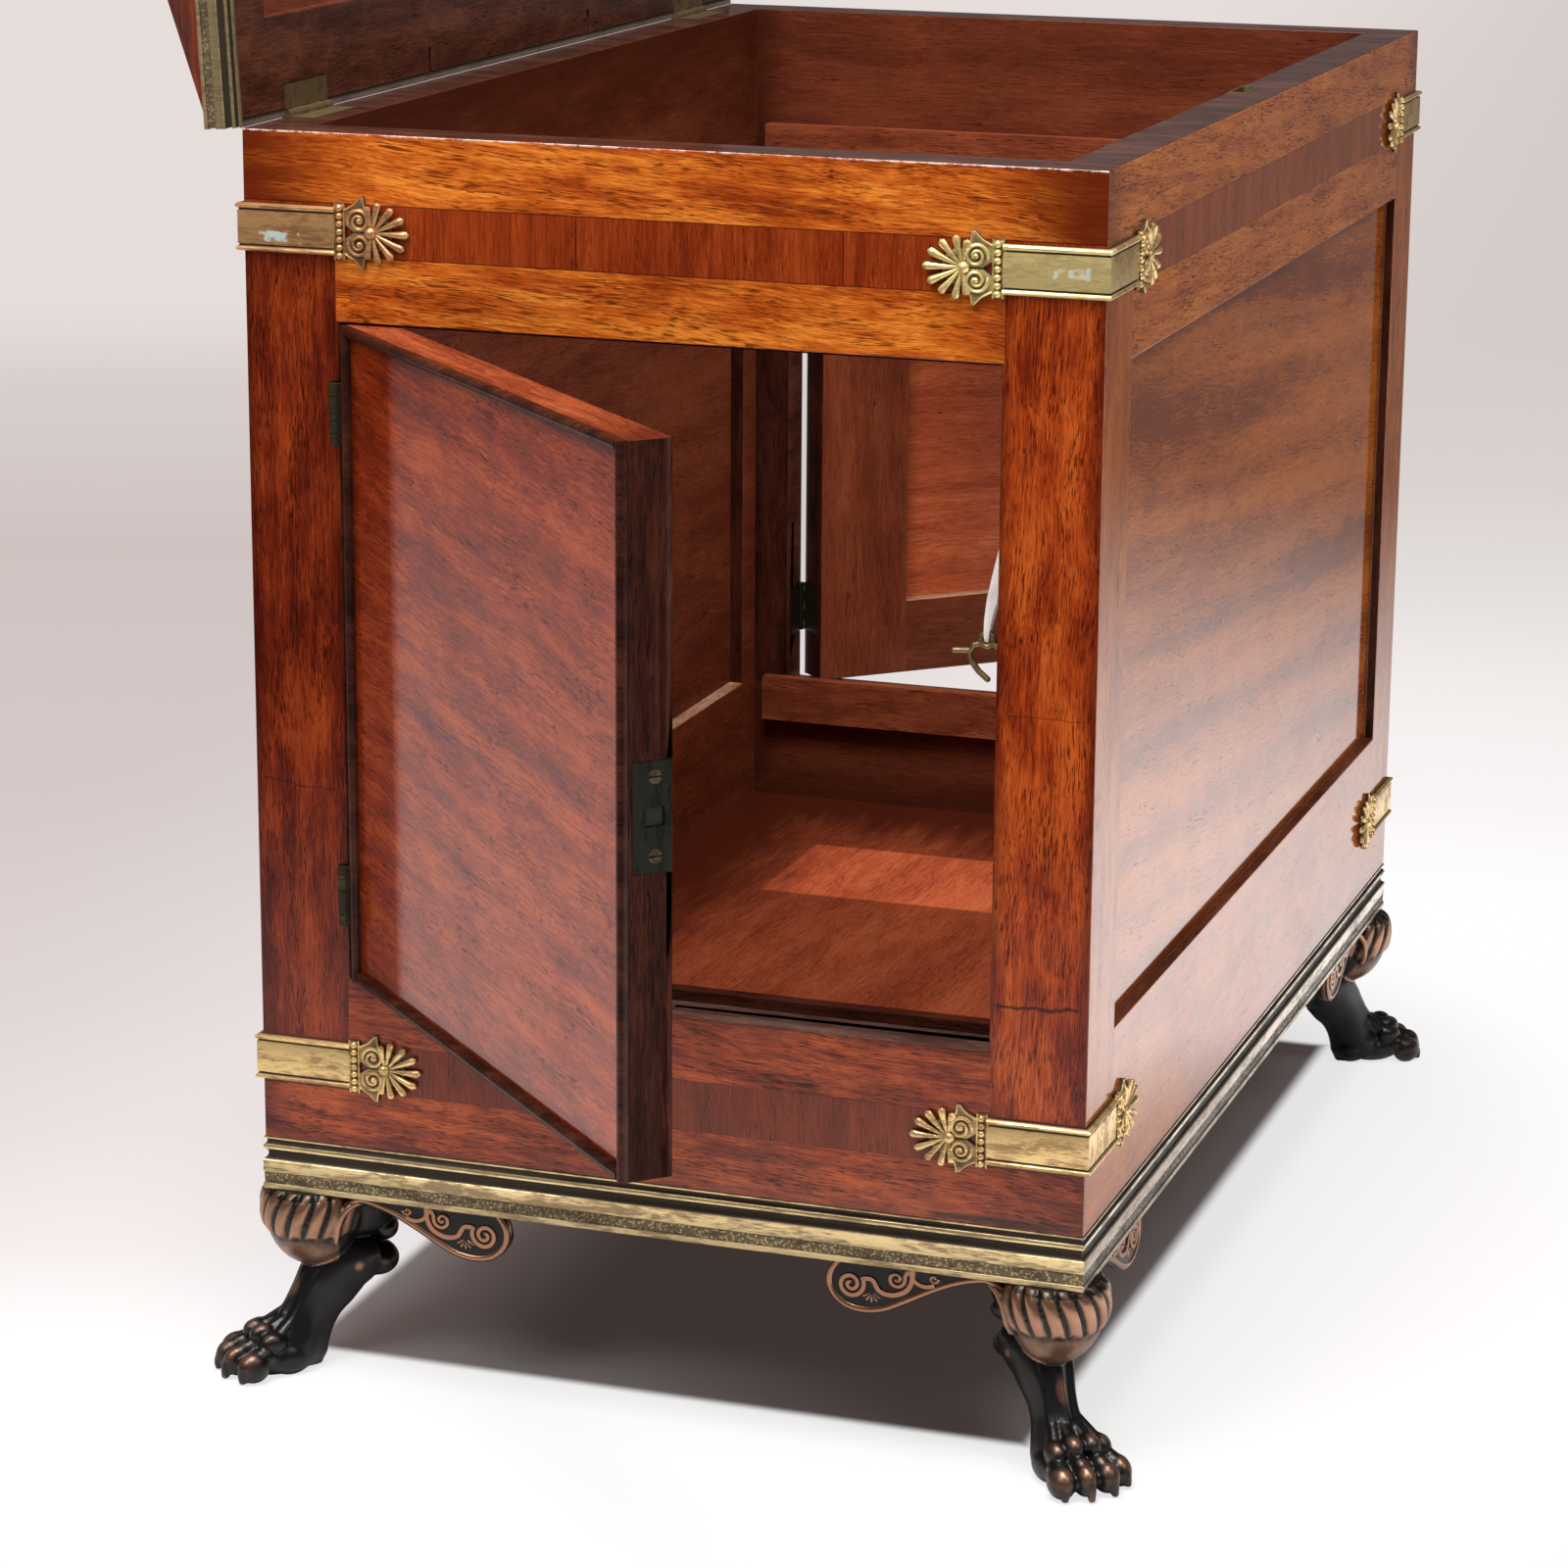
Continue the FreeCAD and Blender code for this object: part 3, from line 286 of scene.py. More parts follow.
def make_piece(
    name: str,
    mesh: bpy.types.Mesh,
    body: Body,
    slot: Slot,
    finishes: Sequence[Material],
    replaces: Iterable[str] = (),
    bevel: float = 0.0,
) -> bpy.types.Object:
    """Puts a mesh in the scene as a piece of the object.

    Args:
        name: the piece's name.
        mesh: its mesh, in row metres.
        body: the body it rides on.
        slot: the record's material slot; not used.
        finishes: its materials, by the faces' marks.
        replaces: the CAD nodes that it stands for.
        bevel: the width in millimetres of the rounding of its arrises, or 0.

    Returns:
        The object.
    """
    piece = placed(name, mesh)
    for finish in finishes:
        mesh.materials.append(finish)
    if bevel:
        rounding = piece.modifiers.new("arrises", "BEVEL")
        rounding.width = bevel * MM
        rounding.segments = 2
        rounding.limit_method = "ANGLE"
        rounding.angle_limit = math.radians(50)
        rounding.use_clamp_overlap = False
        rounding.harden_normals = True
    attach(piece, body.value)
    if replaces:
        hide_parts(*replaces)
    log.info("%s: %d faces on %s", name, len(mesh.polygons), body.value)
    return piece


@dataclass(frozen=True)
class Block:
    """A box of wood, or of room cut out of the wood, in case millimetres."""

    x: Span
    y: Span
    z: Span
    solid: bool = True


def mirrored_block(block: Block, x: bool = False, y: bool = False) -> Block:
    """The block mirrored about the middle of the case."""
    span_x = (WIDTH - block.x[1], WIDTH - block.x[0]) if x else block.x
    span_y = (DEPTH - block.y[1], DEPTH - block.y[0]) if y else block.y
    return Block(span_x, span_y, block.z, block.solid)


def joinery(blocks: Sequence[Block], lines: Sequence[Sequence[float]], zone: Callable[[Array, Array], Array]) -> Form:
    """Joins blocks of wood into one shell, on an uneven lattice.

    The space is divided at every block's faces and at the given lines. A cell is full if the
    last block that covers it is solid, and each face between a full and an empty cell is kept.

    Args:
        blocks: wood and cuts, in order.
        lines: more dividing planes along x, y and z, as where one veneer meets the next.
        zone: gives the mark of each face from its centre and its normal.

    Returns:
        The shell, its faces outwards.
    """
    edges = [
        np.unique(np.round([v for b in blocks for v in span(b)] + list(extra), 4))
        for span, extra in zip((lambda b: b.x, lambda b: b.y, lambda b: b.z), lines)
    ]
    middles = [(e[1:] + e[:-1]) / 2 for e in edges]
    full = np.zeros([len(m) for m in middles], bool)
    for block in blocks:
        inside = [(m > s[0]) & (m < s[1]) for m, s in zip(middles, (block.x, block.y, block.z))]
        full[np.ix_(*inside)] = block.solid
    padded = np.pad(full, 1)
    shape = np.array([len(e) for e in edges])
    steps = np.array([shape[1] * shape[2], shape[2], 1])
    quads, normals = [], []
    for axis in range(3):
        other = [a for a in range(3) if a != axis]
        core = [slice(1, -1)] * 3
        core[axis] = slice(None)
        inner = padded[tuple(core)]
        low, high = np.moveaxis(inner, axis, 0)[:-1], np.moveaxis(inner, axis, 0)[1:]
        for sign, found in ((1.0, low & ~high), (-1.0, ~low & high)):
            place = np.argwhere(found)
            base = place[:, 0] * steps[axis] + place[:, 1] * steps[other[0]] + place[:, 2] * steps[other[1]]
            a, b = steps[other[0]], steps[other[1]]
            corners = [base, base + a, base + a + b, base + b]
            if (sign > 0) == (axis == 1):
                corners = corners[::-1]
            quads.append(np.stack(corners, -1))
            normal = np.zeros((len(place), 3))
            normal[:, axis] = sign
            normals.append(normal)
    quads, normals = np.concatenate(quads), np.concatenate(normals)
    used, index = np.unique(quads, return_inverse=True)
    quads = index.reshape(quads.shape)
    grid = np.stack(np.unravel_index(used, tuple(shape)), -1)
    points = np.stack([edges[k][grid[:, k]] for k in range(3)], -1)
    form = Form()
    form.add(points, quads, zone(points[quads].mean(1), normals))
    return form


def round_angles(count: int) -> Array:
    """Angles evenly round a circle."""
    return np.linspace(0, 2 * np.pi, count, endpoint=False)


def globe(rows: int, sides: int, reach: float = math.pi) -> Array:
    """A unit sphere as rings: sin p cos t, sin p sin t, cos p.

    Args:
        rows: how many rings.
        sides: how many points a ring has.
        reach: the last polar angle p.

    Returns:
        (rows, sides, 3) array.
    """
    p, t = np.linspace(0, reach, rows)[:, None], round_angles(sides)
    return np.stack([np.sin(p) * np.cos(t), np.sin(p) * np.sin(t), np.broadcast_to(np.cos(p), (rows, sides))], -1)


def swept(path: Array, radius: Array, sides: int = 10, flat: float = 1.0, up: Point = (0.0, 0.0, 1.0)) -> Array:
    """Rings round a path: radius times (cos t along the side, flat times sin t along the lift), t going round.

    Args:
        path: (n, 3) points.
        radius: one radius for each point.
        sides: how many points a ring has.
        flat: the ring's height as a share of its width.
        up: the direction that the side stands square to.

    Returns:
        (n, sides, 3) rings.
    """
    tangent = np.gradient(path, axis=0)
    tangent /= np.linalg.norm(tangent, axis=1, keepdims=True) + 1e-12
    side = np.cross(np.broadcast_to(up, tangent.shape), tangent)
    side /= np.linalg.norm(side, axis=1, keepdims=True) + 1e-12
    lift = np.cross(tangent, side)
    t = round_angles(sides)
    r = np.broadcast_to(radius, (len(path),))[:, None, None]
    return path[:, None] + r * (np.cos(t)[:, None] * side[:, None] + flat * np.sin(t)[:, None] * lift[:, None])


def smooth_line(points: Sequence[Sequence[float]], per_span: int = 8) -> Array:
    """A Catmull-Rom curve: on each span, a cubic whose end slopes are half the chord of the neighbours.

    Args:
        points: the points that it goes through, each with any number of values.
        per_span: how many points are worked out between two of them.

    Returns:
        The curve's points, one row each.
    """
    p = np.asarray(points, float)
    p = np.concatenate([2 * p[:1] - p[1:2], p, 2 * p[-1:] - p[-2:-1]])
    t = np.linspace(0, 1, per_span, endpoint=False)[None, :, None]
    a, b, c, d = (p[k : len(p) - 3 + k, None] for k in range(4))
    curve = 0.5 * (2 * b + (c - a) * t + (2 * a - 5 * b + 4 * c - d) * t**2 + (3 * b - a - 3 * c + d) * t**3)
    return np.concatenate([curve.reshape(-1, p.shape[1]), p[-2:-1]])


# ---- shader writing ----
# A box with a longer span than this is open along that axis.
OPEN_SPAN = 900.0


class Value:
    """A number socket on which an expression adds Math nodes."""

    def __init__(self, graph: "Graph", socket: Socket) -> None:
        """Wraps a socket of the graph."""
        self.graph, self.socket = graph, socket

    def __add__(self, other: "Value | float") -> "Value":
        """Sum."""
        return self.graph.maths("ADD", self, other)

    def __mul__(self, other: "Value | float") -> "Value":
        """Product."""
        return self.graph.maths("MULTIPLY", self, other)

    def __sub__(self, other: "Value | float") -> "Value":
        """Difference."""
        return self.graph.maths("SUBTRACT", self, other)

    def __rsub__(self, other: float) -> "Value":
        """Difference, the other way round."""
        return self.graph.maths("SUBTRACT", other, self)

    def __abs__(self) -> "Value":
        """Distance from zero."""
        return self.graph.maths("ABSOLUTE", self)

    __radd__, __rmul__ = __add__, __mul__

    def least(self, other: "Value | float") -> "Value":
        """The smaller of two."""
        return self.graph.maths("MINIMUM", self, other)

    def most(self, other: "Value | float") -> "Value":
        """The larger of two."""
        return self.graph.maths("MAXIMUM", self, other)

    def between(self, low: float, high: float) -> "Value":
        """0 below low, 1 above high, smooth between; high may be the lower one."""
        settings = {"interpolation_type": "SMOOTHSTEP", "clamp": True}
        if low <= high:
            inputs = {"Value": self, "From Min": low, "From Max": high}
            return Value(self.graph, self.graph.node("ShaderNodeMapRange", settings, inputs).outputs["Result"])
        return 1 - self.between(high, low)


Link = Value | Socket | float | Sequence[float]


class Graph:
    """One material's nodes."""

    def __init__(self, name: str) -> None:
        """Starts an empty material."""
        self.material = bpy.data.materials.new(name)
        self.material.use_nodes = True
        self.tree = self.material.node_tree
        self.tree.nodes.clear()

    def node(self, kind: str, settings: dict | None = None, inputs: dict | None = None) -> bpy.types.Node:
        """Adds a node.

        Args:
            kind: the node's type.
            settings: its own settings, set first; "stops" fills a colour ramp.
            inputs: values or links of its sockets, by name or number.

        Returns:
            The node.
        """
        node = self.tree.nodes.new(kind)
        for key, value in (settings or {}).items():
            if key == "stops":
                ramp = node.color_ramp
                while len(ramp.elements) < len(value):
                    ramp.elements.new(0.5)
                for element, (place, colour) in zip(ramp.elements, value):
                    element.position, element.color = place, (*colour, 1.0)
            else:
                setattr(node, key, value)
        for key, value in (inputs or {}).items():
            self.feed(node.inputs[key], value)
        return node

    def feed(self, socket: Socket, value: Link) -> None:
        """Links a socket, or sets its value."""
        if isinstance(value, Value):
            self.tree.links.new(value.socket, socket)
        elif isinstance(value, Socket):
            self.tree.links.new(value, socket)
        elif socket.type == "RGBA" and len(value) == 3:
            socket.default_value = (*value, 1.0)
        else:
            socket.default_value = value

    def maths(self, operation: str, *values: "Value | float") -> Value:
        """A Math node on one or two numbers."""
        node = self.node("ShaderNodeMath", {"operation": operation}, dict(enumerate(values)))
        return Value(self, node.outputs[0])

    def place(self, swing: Swing = CLOSED) -> Socket:
        """Where the shaded point lies, in closed case millimetres."""
        location, rotation = swing.closed_frame()
        coordinates = self.node("ShaderNodeTexCoord").outputs["Object"]
        inputs = {"Vector": coordinates, "Location": location, "Rotation": rotation, "Scale": (1000.0,) * 3}
        return self.node("ShaderNodeMapping", {"vector_type": "POINT"}, inputs).outputs[0]

    def axes(self, vector: Socket) -> tuple[Value, Value, Value]:
        """The three numbers of a vector."""
        node = self.node("ShaderNodeSeparateXYZ", inputs={0: vector})
        return tuple(Value(self, socket) for socket in node.outputs)

    def stretched(self, vector: Socket, turn: Point, sizes: Point, seed: float) -> Socket:
        """The vector in a turned frame, with each axis measured in its own size.

        Args:
            vector: where the point lies, in millimetres.
            turn: the frame's turns about x, y and z, in degrees.
            sizes: how many millimetres make one unit along each axis.
            seed: moves the frame, so that no two patterns match.

        Returns:
            The new vector.
        """
        inputs = {
            "Vector": vector,
            "Location": (seed * 37.0, seed * 53.0, seed * 71.0),
            "Rotation": [math.radians(a) for a in turn],
            "Scale": sizes,
        }
        return self.node("ShaderNodeMapping", {"vector_type": "TEXTURE"}, inputs).outputs[0]

    def sway(self, vector: Socket, size: float, reach: float) -> Socket:
        """The vector moved softly this way and that, by about reach, over distances of size."""
        drift = self.node("ShaderNodeTexNoise", inputs={"Vector": vector, "Scale": 1 / size, "Detail": 1.5})
        inputs = {0: drift.outputs["Color"], 1: (reach,) * 3, 2: vector}
        return self.node("ShaderNodeVectorMath", {"operation": "MULTIPLY_ADD"}, inputs).outputs[0]

    def noise(
        self, vector: Socket, scale: float = 1.0, detail: float = 2.0, rough: float = 0.5, bend: float = 0.0
    ) -> Value:
        """Soft random waves, about 0.5 on average.

        Args:
            vector: where the point lies.
            scale: waves in a unit of the vector.
            detail: how many finer waves ride on them.
            rough: how strong the finer ones are.
            bend: how far the waves are distorted.

        Returns:
            The number.
        """
        inputs = {"Vector": vector, "Scale": scale, "Detail": detail, "Roughness": rough, "Distortion": bend}
        return Value(self, self.node("ShaderNodeTexNoise", {"noise_dimensions": "3D"}, inputs).outputs[0])

    def cells(self, vector: Socket, scale: float) -> Value:
        """The distance to the nearest of many scattered points."""
        node = self.node("ShaderNodeTexVoronoi", {"feature": "F1"}, {"Vector": vector, "Scale": scale})
        return Value(self, node.outputs["Distance"])

    def ramp(self, value: Value, stops: Sequence[tuple[float, Colour]]) -> Socket:
        """A colour for each number."""
        return self.node("ShaderNodeValToRGB", {"stops": stops}, {0: value}).outputs["Color"]

    def mix(self, factor: Link, first: Link, second: Link, blend: str = "MIX") -> Socket:
        """A mix of two colours."""
        node = self.node("ShaderNodeMix", {"data_type": "RGBA", "blend_type": blend})
        self.feed(node.inputs[0], factor)
        self.feed(node.inputs[6], first)
        self.feed(node.inputs[7], second)
        return node.outputs[2]

    def inside(self, place: tuple["Value", "Value", "Value"], low: Point, high: Point) -> "Value":
        """How far a place lies inside a box, in millimetres; negative outside it.

        Args:
            place: its x, y and z.
            low: the box's least corner.
            high: its greatest corner; an axis whose span is over OPEN_SPAN is left out.

        Returns:
            The least distance to a face.
        """
        spans = zip(place, low, high)
        return reduce(Value.least, [(value - a).least(b - value) for value, a, b in spans if b - a <= OPEN_SPAN])

    def lit(self, colour: Link, gain: "Value | float") -> Socket:
        """A colour made lighter or darker by a number."""
        node = self.node("ShaderNodeVectorMath", {"operation": "SCALE"}, {0: colour, "Scale": gain})
        return node.outputs[0]

    def relief(self) -> Value:
        """How proud the surface is at this point, from its mesh."""
        node = self.node("ShaderNodeAttribute", {"attribute_name": "relief"})
        return Value(self, node.outputs["Fac"])

    def bump(self, height: Value, millimetres: float, normal: Socket | None = None) -> Socket:
        """A bumped normal: height 1 stands so many millimetres proud of height 0."""
        inputs = {"Height": height, "Distance": millimetres * MM, "Strength": 1.0}
        if normal is not None:
            inputs["Normal"] = normal
        return self.node("ShaderNodeBump", inputs=inputs).outputs[0]

    def surface(self, inputs: dict) -> Material:
        """Ends the material in a Principled shader with these sockets."""
        shader = self.node("ShaderNodeBsdfPrincipled", inputs=inputs)
        self.node("ShaderNodeOutputMaterial", inputs={"Surface": shader.outputs[0]})
        return self.material


# ---- finishes ----
CRACK_BLACK: Colour = (0.012, 0.004, 0.003)
# The pale colour of highlights painted along arrises.
ARRIS_HIGHLIGHT: Colour = (0.62, 0.48, 0.42)
VERDIGRIS: Colour = (0.38, 0.47, 0.45)


class Grain(Enum):
    """Which way the grain runs: the turn that takes x to it."""

    ACROSS = (0.0, 0.0, 0.0)
    ALONG = (0.0, 0.0, 90.0)
    UPRIGHT = (0.0, -90.0, 0.0)


@dataclass(frozen=True)
class Crack:
    """A fine dark line in a face, drawn on the plane of two axes (0 x, 1 y, 2 z)."""

    middle: tuple[float, float]
    degrees: float
    half_length: float
    width: float = 0.35
    wave: float = 0.6
    axes: tuple[int, int] = (0, 2)
    depth: float = 0.8

    def mask(self, place: tuple[Value, Value, Value], wander: Value) -> Value:
        """1 on the line: its distance off the straight, with a little wander, under its width.

        Args:
            place: where the point lies: x, y and z.
            wander: soft waves that bend the line.

        Returns:
            The mask, its ends faded.
        """
        c, s = math.cos(math.radians(self.degrees)), math.sin(math.radians(self.degrees))
        u = place[self.axes[0]] - self.middle[0]
        v = place[self.axes[1]] - self.middle[1]
        off = abs(v * c - u * s + (wander - 0.5) * (2 * self.wave))
        on = off.between(self.width, self.width * 0.3)
        return on * abs(u * c + v * s).between(self.half_length, self.half_length * 0.8) * self.depth


@dataclass(frozen=True)
class Veneer:
    """Old French-polished mahogany: long figure, fibre, short dark strokes, darkened borders, painted highlights, a
    glossy coat.

    The grain, its tilt in the face and the seed place the pattern. Figure and stroke_size are lengths along and
    across the grain in millimetres. Strokes, mottle, bands, pores, fine_lines and swell are strengths. Edges is the
    box of the face, whose borders are dark over edge_reach by edge_depth: old polish, grime and painted shade. The
    box of light and its gain paint a pool of light. The rubbed lines are pale lines painted as highlights along
    arrises.
    """

    name: str
    shades: Shades
    grain: Grain = Grain.ACROSS
    tilt: float = 0.0
    seed: float = 1.0
    figure: tuple[float, float] = (150.0, 13.0)
    strokes: float = 0.5
    stroke_size: tuple[float, float] = (9.0, 0.55)
    gloss: float = 1.0
    polish: float = 0.07
    swing: Swing = CLOSED
    edges: tuple[Point, Point] | None = None
    edge_reach: float = 9.0
    edge_depth: float = 0.45
    cracks: tuple[Crack, ...] = ()
    # Pale lines painted as highlights along arrises, and a box painted lighter as a pool of light.
    rubbed: tuple[Crack, ...] = ()
    patch: tuple[Point, Point, float] | None = None
    fine_lines: float = 0.0
    mottle: float = 0.5
    bands: float = 0.0
    pores: float = 0.35
    swell: float = 0.35
    curl: float = 9.0
    body_gloss: float = 0.0
    coat_index: float = 1.5

    def turn(self) -> Point:
        """The turn of the grain's frame, with its tilt within the face."""
        x, y, z = self.grain.value
        return (x, y + self.tilt, z)

    def borders(self, graph: Graph, place: tuple[Value, Value, Value], waver: Value) -> Value:
        """1 in the middle of a face and 0 at its borders, which are darkened as old polish, grime and painted shade."""
        inner = graph.inside(place, *self.edges)
        return (inner + (waver - 0.5) * self.edge_reach).between(0.0, self.edge_reach)

    def build(self) -> Material:
        """Writes the material."""
        g = Graph(self.name)
        point = g.place(self.swing)
        place = g.axes(point)
        long, wide = self.figure
        turn = self.turn()
        grained = g.sway(point, 75.0, self.curl)
        figure = g.noise(g.stretched(grained, turn, (long, wide, wide), self.seed), 1.0, 3.0, 0.55)
        streak = g.noise(g.stretched(grained, turn, (30.0, 1.2, 1.2), self.seed + 1), 1.0, 2.0, 0.6)
        fibre = g.noise(g.stretched(grained, turn, (9.0, 0.5, 0.5), self.seed + 2), 1.0, 2.0, 0.65)
        cloud = g.noise(g.stretched(grained, turn, (42.0, 15.0, 15.0), self.seed + 6), 1.0, 4.0, 0.6, 0.5)
        tone = figure * 0.40 + streak * 0.26 + fibre * 0.34 + (cloud - 0.5) * self.mottle
        if self.bands:
            broad = g.noise(g.stretched(grained, turn, (750.0, 30.0, 30.0), self.seed + 11), 1.0, 3.0, 0.5)
            tone = tone + (broad - 0.5) * self.bands
        colour = g.ramp(tone, [(0.38, self.shades[0]), (0.50, self.shades[1]), (0.62, self.shades[2])])
        if self.fine_lines:
            bars = g.noise(g.stretched(point, turn, (60.0, 0.9, 0.9), self.seed + 3), 1.0, 2.0, 0.6)
            colour = g.lit(colour, 1 - bars.between(0.45, 0.62) * self.fine_lines)
        length, thick = self.stroke_size
        dash = g.noise(g.stretched(grained, turn, (length, thick, thick), self.seed + 5), 1.0, 1.0, 0.5)
        drift = g.noise(g.stretched(grained, turn, (55.0, 8.0, 8.0), self.seed + 9), 1.0, 2.0, 0.55)
        level = 0.68 - 0.12 * self.strokes
        stroke = (dash + (drift - 0.5) * 0.5).between(level, level + 0.09)
        pore = g.noise(g.stretched(grained, turn, (4.5, 0.4, 0.4), self.seed + 7), 1.0, 1.0, 0.5).between(0.58, 0.72)
        dark = tuple(c * f for c, f in zip(self.shades[0], (0.34, 0.36, 0.45)))
        colour = g.mix(pore * self.pores, colour, dark)
        colour = g.mix(stroke * 0.8, colour, dark)
        # Painted light: inside the box the colour is made lighter by the gain.
        if self.patch is not None:
            low, high, gain = self.patch
            inside = g.inside(place, low, high)
            colour = g.lit(colour, 1 + inside.between(0.0, 3.0) * (gain - 1))
        # Darkened borders: old polish and grime, and painted shade by beads, corners and recesses.
        if self.edges is not None:
            border = self.borders(g, place, drift)
            grime_and_shade = tuple(c * f for c, f in zip(self.shades[0], (0.42, 0.36, 0.4)))
            colour = g.mix((1 - border) * self.edge_depth, colour, grime_and_shade)
        masks = [crack.mask(place, g.noise(point, 1 / 16.0, 3.0, 0.6)) for crack in self.cracks]
        if masks:
            colour = g.mix(reduce(Value.most, masks), colour, CRACK_BLACK)
        # Painted highlights: pale broken lines along arrises.
        for line in self.rubbed:
            broken = g.noise(point, 1 / 7.0, 3.0, 0.7)
            colour = g.mix(line.mask(place, broken) * broken.between(0.42, 0.6), colour, ARRIS_HIGHLIGHT)
        smear = g.noise(point, 1 / 38.0, 4.0, 0.6)
        swell = g.noise(g.stretched(point, turn, (90.0, 24.0, 24.0), self.seed + 2), 1.0, 1.0, 0.4)
        normal = g.bump(swell, self.swell)
        normal = g.bump(1 - stroke.most(pore * 0.5), 0.025, normal)
        return g.surface(
            {
                "Base Color": colour,
                "Roughness": 0.42 + smear * 0.16,
                "Specular IOR Level": self.body_gloss,
                "Normal": normal,
                "Coat Weight": (0.86 + smear * 0.24 - stroke * 0.25) * self.gloss,
                "Coat Roughness": self.polish,
                "Coat IOR": self.coat_index,
            }
        )


@dataclass(frozen=True)
class Brass:
    """Old gilt brass: bright where it is rubbed, brown where it has tarnished, black in the grooves, with scratches."""

    name: str
    bright: Colour = (0.72, 0.52, 0.22)
    tarnish: Colour = (0.22, 0.13, 0.06)
    deep: Colour = (0.035, 0.024, 0.014)
    worn: float = 0.5
    scratch: float = 0.5
    rough: float = 0.3
    verdigris: tuple[tuple[Point, Point], ...] = ()
    brush: Grain = Grain.ACROSS
    metal: float = 0.9
    carved: bool = True
    tints: tuple[tuple[Point, Point, Colour, str], ...] = ()
    punch: float = 1.6

    def build(self) -> Material:
        """Writes the material."""
        g = Graph(self.name)
        point = g.place()
        stain = g.noise(g.stretched(point, self.brush.value, (26.0, 7.0, 7.0), 1.0), 1.0, 5.0, 0.62, 0.4)
        fleck = g.noise(g.stretched(point, self.brush.value, (6.0, 0.9, 0.9), 4.0), 1.0, 3.0, 0.6)
        score = g.noise(g.stretched(point, self.brush.value, (16.0, 0.35, 0.35), 6.0), 1.0, 2.0, 0.6)
        brown = (stain + (fleck - 0.5) * 0.6).between(0.38 + 0.14 * self.worn, 0.64) * 0.85
        place = g.axes(point)
        colour = g.mix(brown, self.bright, self.tarnish)
        for low, high, tint, blend in self.tints:
            colour = g.mix(g.inside(place, low, high).between(-6.0, 6.0), colour, g.mix(1.0, colour, tint, blend))
        scratched = (score.between(0.60, 0.72) * self.scratch).most(fleck.between(0.70, 0.78) * self.scratch)
        colour = g.mix(scratched, colour, self.deep)
        rub = 1.0
        if self.carved:
            raised = g.relief()
            dots = (0 - raised).between(0.3, 0.6) * (g.cells(point, 1 / self.punch).between(0.55, 0.2) * 0.42 + 0.13)
            rub = (raised + (fleck - 0.5) * 0.25).between(0.25, 0.8).most(dots)
        colour = g.mix(rub, self.deep, colour)
        metal, rough = rub * (self.metal * 0.6) + self.metal * 0.4, self.rough + brown * 0.22 + (1 - rub) * 0.25
        if self.verdigris:
            grown = reduce(Value.most, [g.inside(place, *box).between(-2.5, 2.0) for box in self.verdigris])
            blot = g.noise(point, 1 / 6.5, 3.0, 0.6)
            grown = (grown * 0.42 + blot * 0.6).between(0.66, 0.76)
            colour = g.mix(grown, colour, VERDIGRIS)
            metal, rough = metal * (1 - grown), rough + grown * 0.4
        pit = g.noise(point, 1 / 1.8, 3.0, 0.6)
        return g.surface(
            {
                "Base Color": colour,
                "Metallic": metal,
                "Roughness": rough,
                "Normal": g.bump(pit * 0.6 + score * 0.4, 0.05),
            }
        )


@dataclass(frozen=True)
class Bronze:
    """Cast bronze under a black patina that is rubbed through to copper on the proud places."""

    name: str
    copper: Colour = (0.42, 0.19, 0.10)
    black: Colour = (0.006, 0.0055, 0.0055)
    rub: Span = (0.45, 0.85)
    rough: float = 0.32
    coat: float = 0.2

    def build(self) -> Material:
        """Writes the material."""
        g = Graph(self.name)
        point = g.place()
        blot = g.noise(point, 1 / 11.0, 4.0, 0.6, 0.3)
        grit = g.noise(point, 1 / 1.6, 3.0, 0.6)
        rubbed = (g.relief() + (blot - 0.5) * 0.5 + (grit - 0.5) * 0.12).between(*self.rub)
        colour = g.mix(rubbed, self.black, self.copper)
        colour = g.lit(colour, 0.75 + blot * 0.5)
        return g.surface(
            {
                "Base Color": colour,
                "Metallic": 0.55 + rubbed * 0.35,
                "Roughness": self.rough + (1 - rubbed) * 0.08 + (grit - 0.5) * 0.1,
                "Normal": g.bump(grit * 0.5 + blot * 0.5, 0.12),
                "Coat Weight": self.coat,
                "Coat Roughness": 0.18,
            }
        )


@dataclass(frozen=True)
class Weave:
    """White satin ribbon with its cross ribs."""

    name: str = "white_satin"

    def build(self) -> Material:
        """Writes the material."""
        g = Graph(self.name)
        point = g.place()
        rib = g.noise(g.stretched(point, (0, 0, 0), (6.0, 6.0, 0.35), 1.0), 1.0, 1.0)
        soil = g.noise(point, 1 / 14.0, 3.0)
        colour = g.mix(soil.between(0.45, 0.8), (0.9, 0.89, 0.86), (0.74, 0.71, 0.65))
        inputs = {"Base Color": colour, "Roughness": 0.55 + rib * 0.2, "Sheen Weight": 0.3, "Normal": g.bump(rib, 0.05)}
        return g.surface(inputs)


